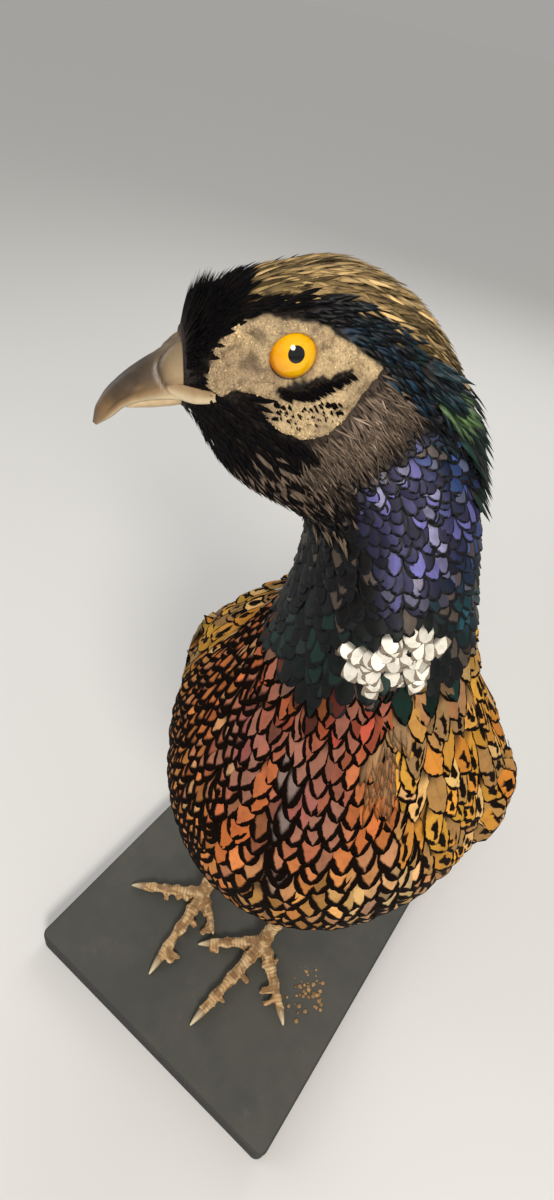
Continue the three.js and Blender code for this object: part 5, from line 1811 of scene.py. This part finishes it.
def make_board_finish():
    material, tree, shader = new_finish("worn_slate_paint_shaded_sides", Specular_IOR_Level=0.3)
    grain = group_outputs(tree, GRAIN, Fine=700.0, Blotch=28.0)
    normal = add(tree, "ShaderNodeNewGeometry").outputs["Normal"]
    top = step(tree, add(tree, "ShaderNodeSeparateXYZ", {0: normal}).outputs["Z"], 0.5, 0.9)
    scuffs = step(tree, noise(tree, 60.0, 8.0, 0.75), 0.58, 0.72)
    slate = blended(tree, grain["Blotches"], paint("#454540"), paint("#4d4c46"))
    slate = blended(tree, times(tree, scuffs, 0.16), slate, paint("#7b776d"))
    # The board's sides are painted near black against the slate top: painted shade on the sides.
    colour = blended(tree, top, paint("#1b1a1a"), slate)
    tree.links.new(colour, shader.inputs["Base Color"])
    tree.links.new(calc(tree, "MULTIPLY_ADD", grain["Grain"], 0.35, 0.5), shader.inputs["Roughness"])
    bump(tree, shader, grain["Relief"], 0.3, 0.0004)
    return material


SPECKS = {"count": 60, "middle": (65, 0), "spread": (5, 7), "size": (0.4, 1.5)}


def lay_specks(material, rng):
    """Crumbs of dried skin on the board beside the foot."""
    count = SPECKS["count"]
    place = np.array(SPECKS["middle"]) + rng.normal(0, 1, (count, 2)) * SPECKS["spread"]
    base = in_row(np.column_stack([place, np.full(count, 0.25)]))
    turn = rng.uniform(0, 2 * math.pi, count)
    ahead = np.stack([np.cos(turn), np.sin(turn), 0 * turn], 1)
    up = np.tile([0, 0, 1.0], (count, 1))
    size = rng.uniform(*SPECKS["size"], count) ** 1.3
    piece = domes("dried_specks", base, up, ahead, size, 0.5, material)
    paint_points(piece, "tint", np.repeat(LEG_TAN * rng.uniform(0.3, 0.8, (count, 1)), DOME_POINTS, 0))


def finish_board(material):
    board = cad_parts["base_slab"]
    board.data.materials.clear()
    board.data.materials.append(material)


# ---------------------------------------------------------------- camera, floor and light

CAMERA = {"place": (0.0609, -0.1577, 0.478), "right": (0.7917, 0.5883, 0.1645),
          "up": (-0.5078, 0.4841, 0.7126), "lens": 19.2, "film": 36.0}


def set_camera():
    data = bpy.data.cameras.new("camera")
    data.sensor_fit, data.sensor_width, data.lens = "AUTO", CAMERA["film"], CAMERA["lens"]
    data.clip_start = 0.005
    camera = bpy.data.objects.new("camera", data)
    right, up = Vector(CAMERA["right"]).normalized(), Vector(CAMERA["up"]).normalized()
    back = right.cross(up)
    turn = Matrix((right, up, back)).transposed().to_4x4()
    camera.matrix_world = Matrix.Translation(CAMERA["place"]) @ turn
    bpy.context.scene.collection.objects.link(camera)
    bpy.context.scene.camera = camera


LAMPS = {
    "key": {"place": (0.75, -0.75, 1.05), "size": 0.45, "power": 15.0, "colour": (1.0, 0.95, 0.88)},
    "fill": {"place": (-0.9, -0.5, 0.6), "size": 0.8, "power": 3.5, "colour": (0.92, 0.96, 1.0)},
    "back": {"place": (-0.2, 1.2, 1.0), "size": 0.8, "power": 6.0, "colour": (1.0, 1.0, 1.0)},
}
AIM = (0, 0.02, 0.25)
SKY_STRENGTH, FAR_STRENGTH = 0.55, 0.563
FLOOR_HALF = 60.0
FLOOR_GREY = (0.66, 0.65, 0.63, 1)


def set_stage():
    corners = [(x * FLOOR_HALF, y * FLOOR_HALF, 0) for x, y in ((-1, -1), (1, -1), (1, 1), (-1, 1))]
    mesh = bpy.data.meshes.new("floor")
    mesh.from_pydata(corners, [], [(0, 1, 2, 3)])
    floor = bpy.data.objects.new("floor", mesh)
    material, _, shader = new_finish("floor", Roughness=0.9, Specular_IOR_Level=0.1)
    shader.inputs["Base Color"].default_value = FLOOR_GREY
    mesh.materials.append(material)
    bpy.context.scene.collection.objects.link(floor)
    world = bpy.data.worlds.new("studio")
    world.use_nodes = True
    tree = world.node_tree
    sky = tree.nodes["Background"]
    sky.inputs["Color"].default_value = (1, 0.99, 0.97, 1)
    sky.inputs["Strength"].default_value = SKY_STRENGTH
    far = add(tree, "ShaderNodeBackground", {"Color": FLOOR_GREY, "Strength": FAR_STRENGTH})
    seen = add(tree, "ShaderNodeLightPath").outputs["Is Camera Ray"]
    both = add(tree, "ShaderNodeMixShader", {0: seen, 1: sky.outputs[0], 2: far.outputs[0]})
    tree.links.new(both.outputs[0], tree.nodes["World Output"].inputs["Surface"])
    bpy.context.scene.world = world
    bpy.context.scene.view_settings.view_transform = "Standard"
    for name, lamp in LAMPS.items():
        light = bpy.data.lights.new(name, "AREA")
        light.shape, light.size = "DISK", lamp["size"]
        light.energy, light.color = lamp["power"], lamp["colour"]
        holder = bpy.data.objects.new(name, light)
        holder.location = lamp["place"]
        holder.rotation_euler = (Vector(AIM) - Vector(lamp["place"])).to_track_quat("-Z", "Y").to_euler()
        bpy.context.scene.collection.objects.link(holder)


# ---------------------------------------------------------------- the whole mount

def build():
    skin_finish = make_skin_finish()
    horn = worn_finish("horn", 1400.0, 320.0, (0.35, 0.5), (0.12, 0.08, 0.05), (0.35, 0.28), (0.25, 0.0003),
                       Coat_Weight=0.15, Coat_Roughness=0.3, Specular_IOR_Level=0.45)
    leg_finish = worn_finish("dried_leg_skin", 1300.0, 260.0, (0.45, 0.6), (0.16, 0.09, 0.04), (0.4, 0.42),
                             (0.5, 0.0005), Specular_IOR_Level=0.35)
    breast = feather_finish("scalloped_feathers", RIM_BLACK, 1.7, 1.35, shine=0.03)
    mantle = feather_finish("shoulder_feathers", RIM_BLACK, 2.0, spot=(0.27, 0.45, 0.88), shine=0.05)
    rump = feather_finish("back_feathers", RIM_BLACK, 2.0, spot=(0.4, 0.4, 0.85))
    flank = feather_finish("flank_feathers", RIM_BLACK, 2.0, spot=(0.5, 0.84, 1.2))
    neck = feather_finish("neck_gloss", (0.004, 0.004, 0.006), 2.0, gloss=0.35, rough=0.5, shine=0.25)
    # The collar's white feathers get grey-brown vane rims: painted shade between the overlapping white
    # feathers.
    white = feather_finish("collar_white", paint("#7d7264"), 1.2, rough=0.8)
    crown = feather_finish("crown_streaks", paint("#2e2414"), 3.0)
    dark = feather_finish("velvet_black", (0.004, 0.004, 0.004), 3.0, rough=0.85, shine=0.05)
    glossy = feather_finish("brow_gloss", (0.004, 0.005, 0.006), 3.0, gloss=0.35, rough=0.45, shine=0.25)
    soft = feather_finish("cheek_down", paint("#2a1d15"), 3.0, rough=0.85)
    covert = feather_finish("wing_coverts", paint("#33241a"), 1.8, spot=(0.45, 0.4, 0.8), fringe=tuple(TAN))
    quill = feather_finish("barred_quills", paint("#2a1c12"), 3.0, bars=(9, 0.35))
    tail = feather_finish("barred_tail", paint("#1c120b"), 6.0, bars=(21, -0.3))

    make_skin(skin_finish)
    make_eyes(make_eye_finish())
    make_bill(horn)
    make_gape(horn)
    for (side, sign), seed in zip(SIDES, (9, 10)):
        leg_skin(side, LEGS[side], leg_finish, np.random.default_rng(seed))
        make_claws(side, LEGS[side], horn)
        make_spur(side, sign, LEGS[side], horn)
    finish_board(make_board_finish())
    lay_specks(leg_finish, np.random.default_rng(8))

    lay_breast(breast, np.random.default_rng(11))
    lay_mantle(mantle, soft, np.random.default_rng(12))
    lay_back(rump, np.random.default_rng(13))
    lay_flanks(flank, np.random.default_rng(14))
    lay_neck(neck, white, np.random.default_rng(15))
    head_rng = np.random.default_rng(16)
    lay_crown(crown, head_rng)
    lay_sides(dark, glossy, soft, head_rng)
    lay_forehead(dark, np.random.default_rng(17))
    lay_wings(covert, quill, np.random.default_rng(18))
    lay_tail(tail, np.random.default_rng(19))
    lay_ear_tufts(glossy, np.random.default_rng(20))
    lay_hackles(neck, np.random.default_rng(21))
    lay_thigh_feathers(flank, np.random.default_rng(22))
    lay_granules(skin_finish, np.random.default_rng(23))
    lay_face_flecks(dark, np.random.default_rng(24))


build()
set_camera()
set_stage()
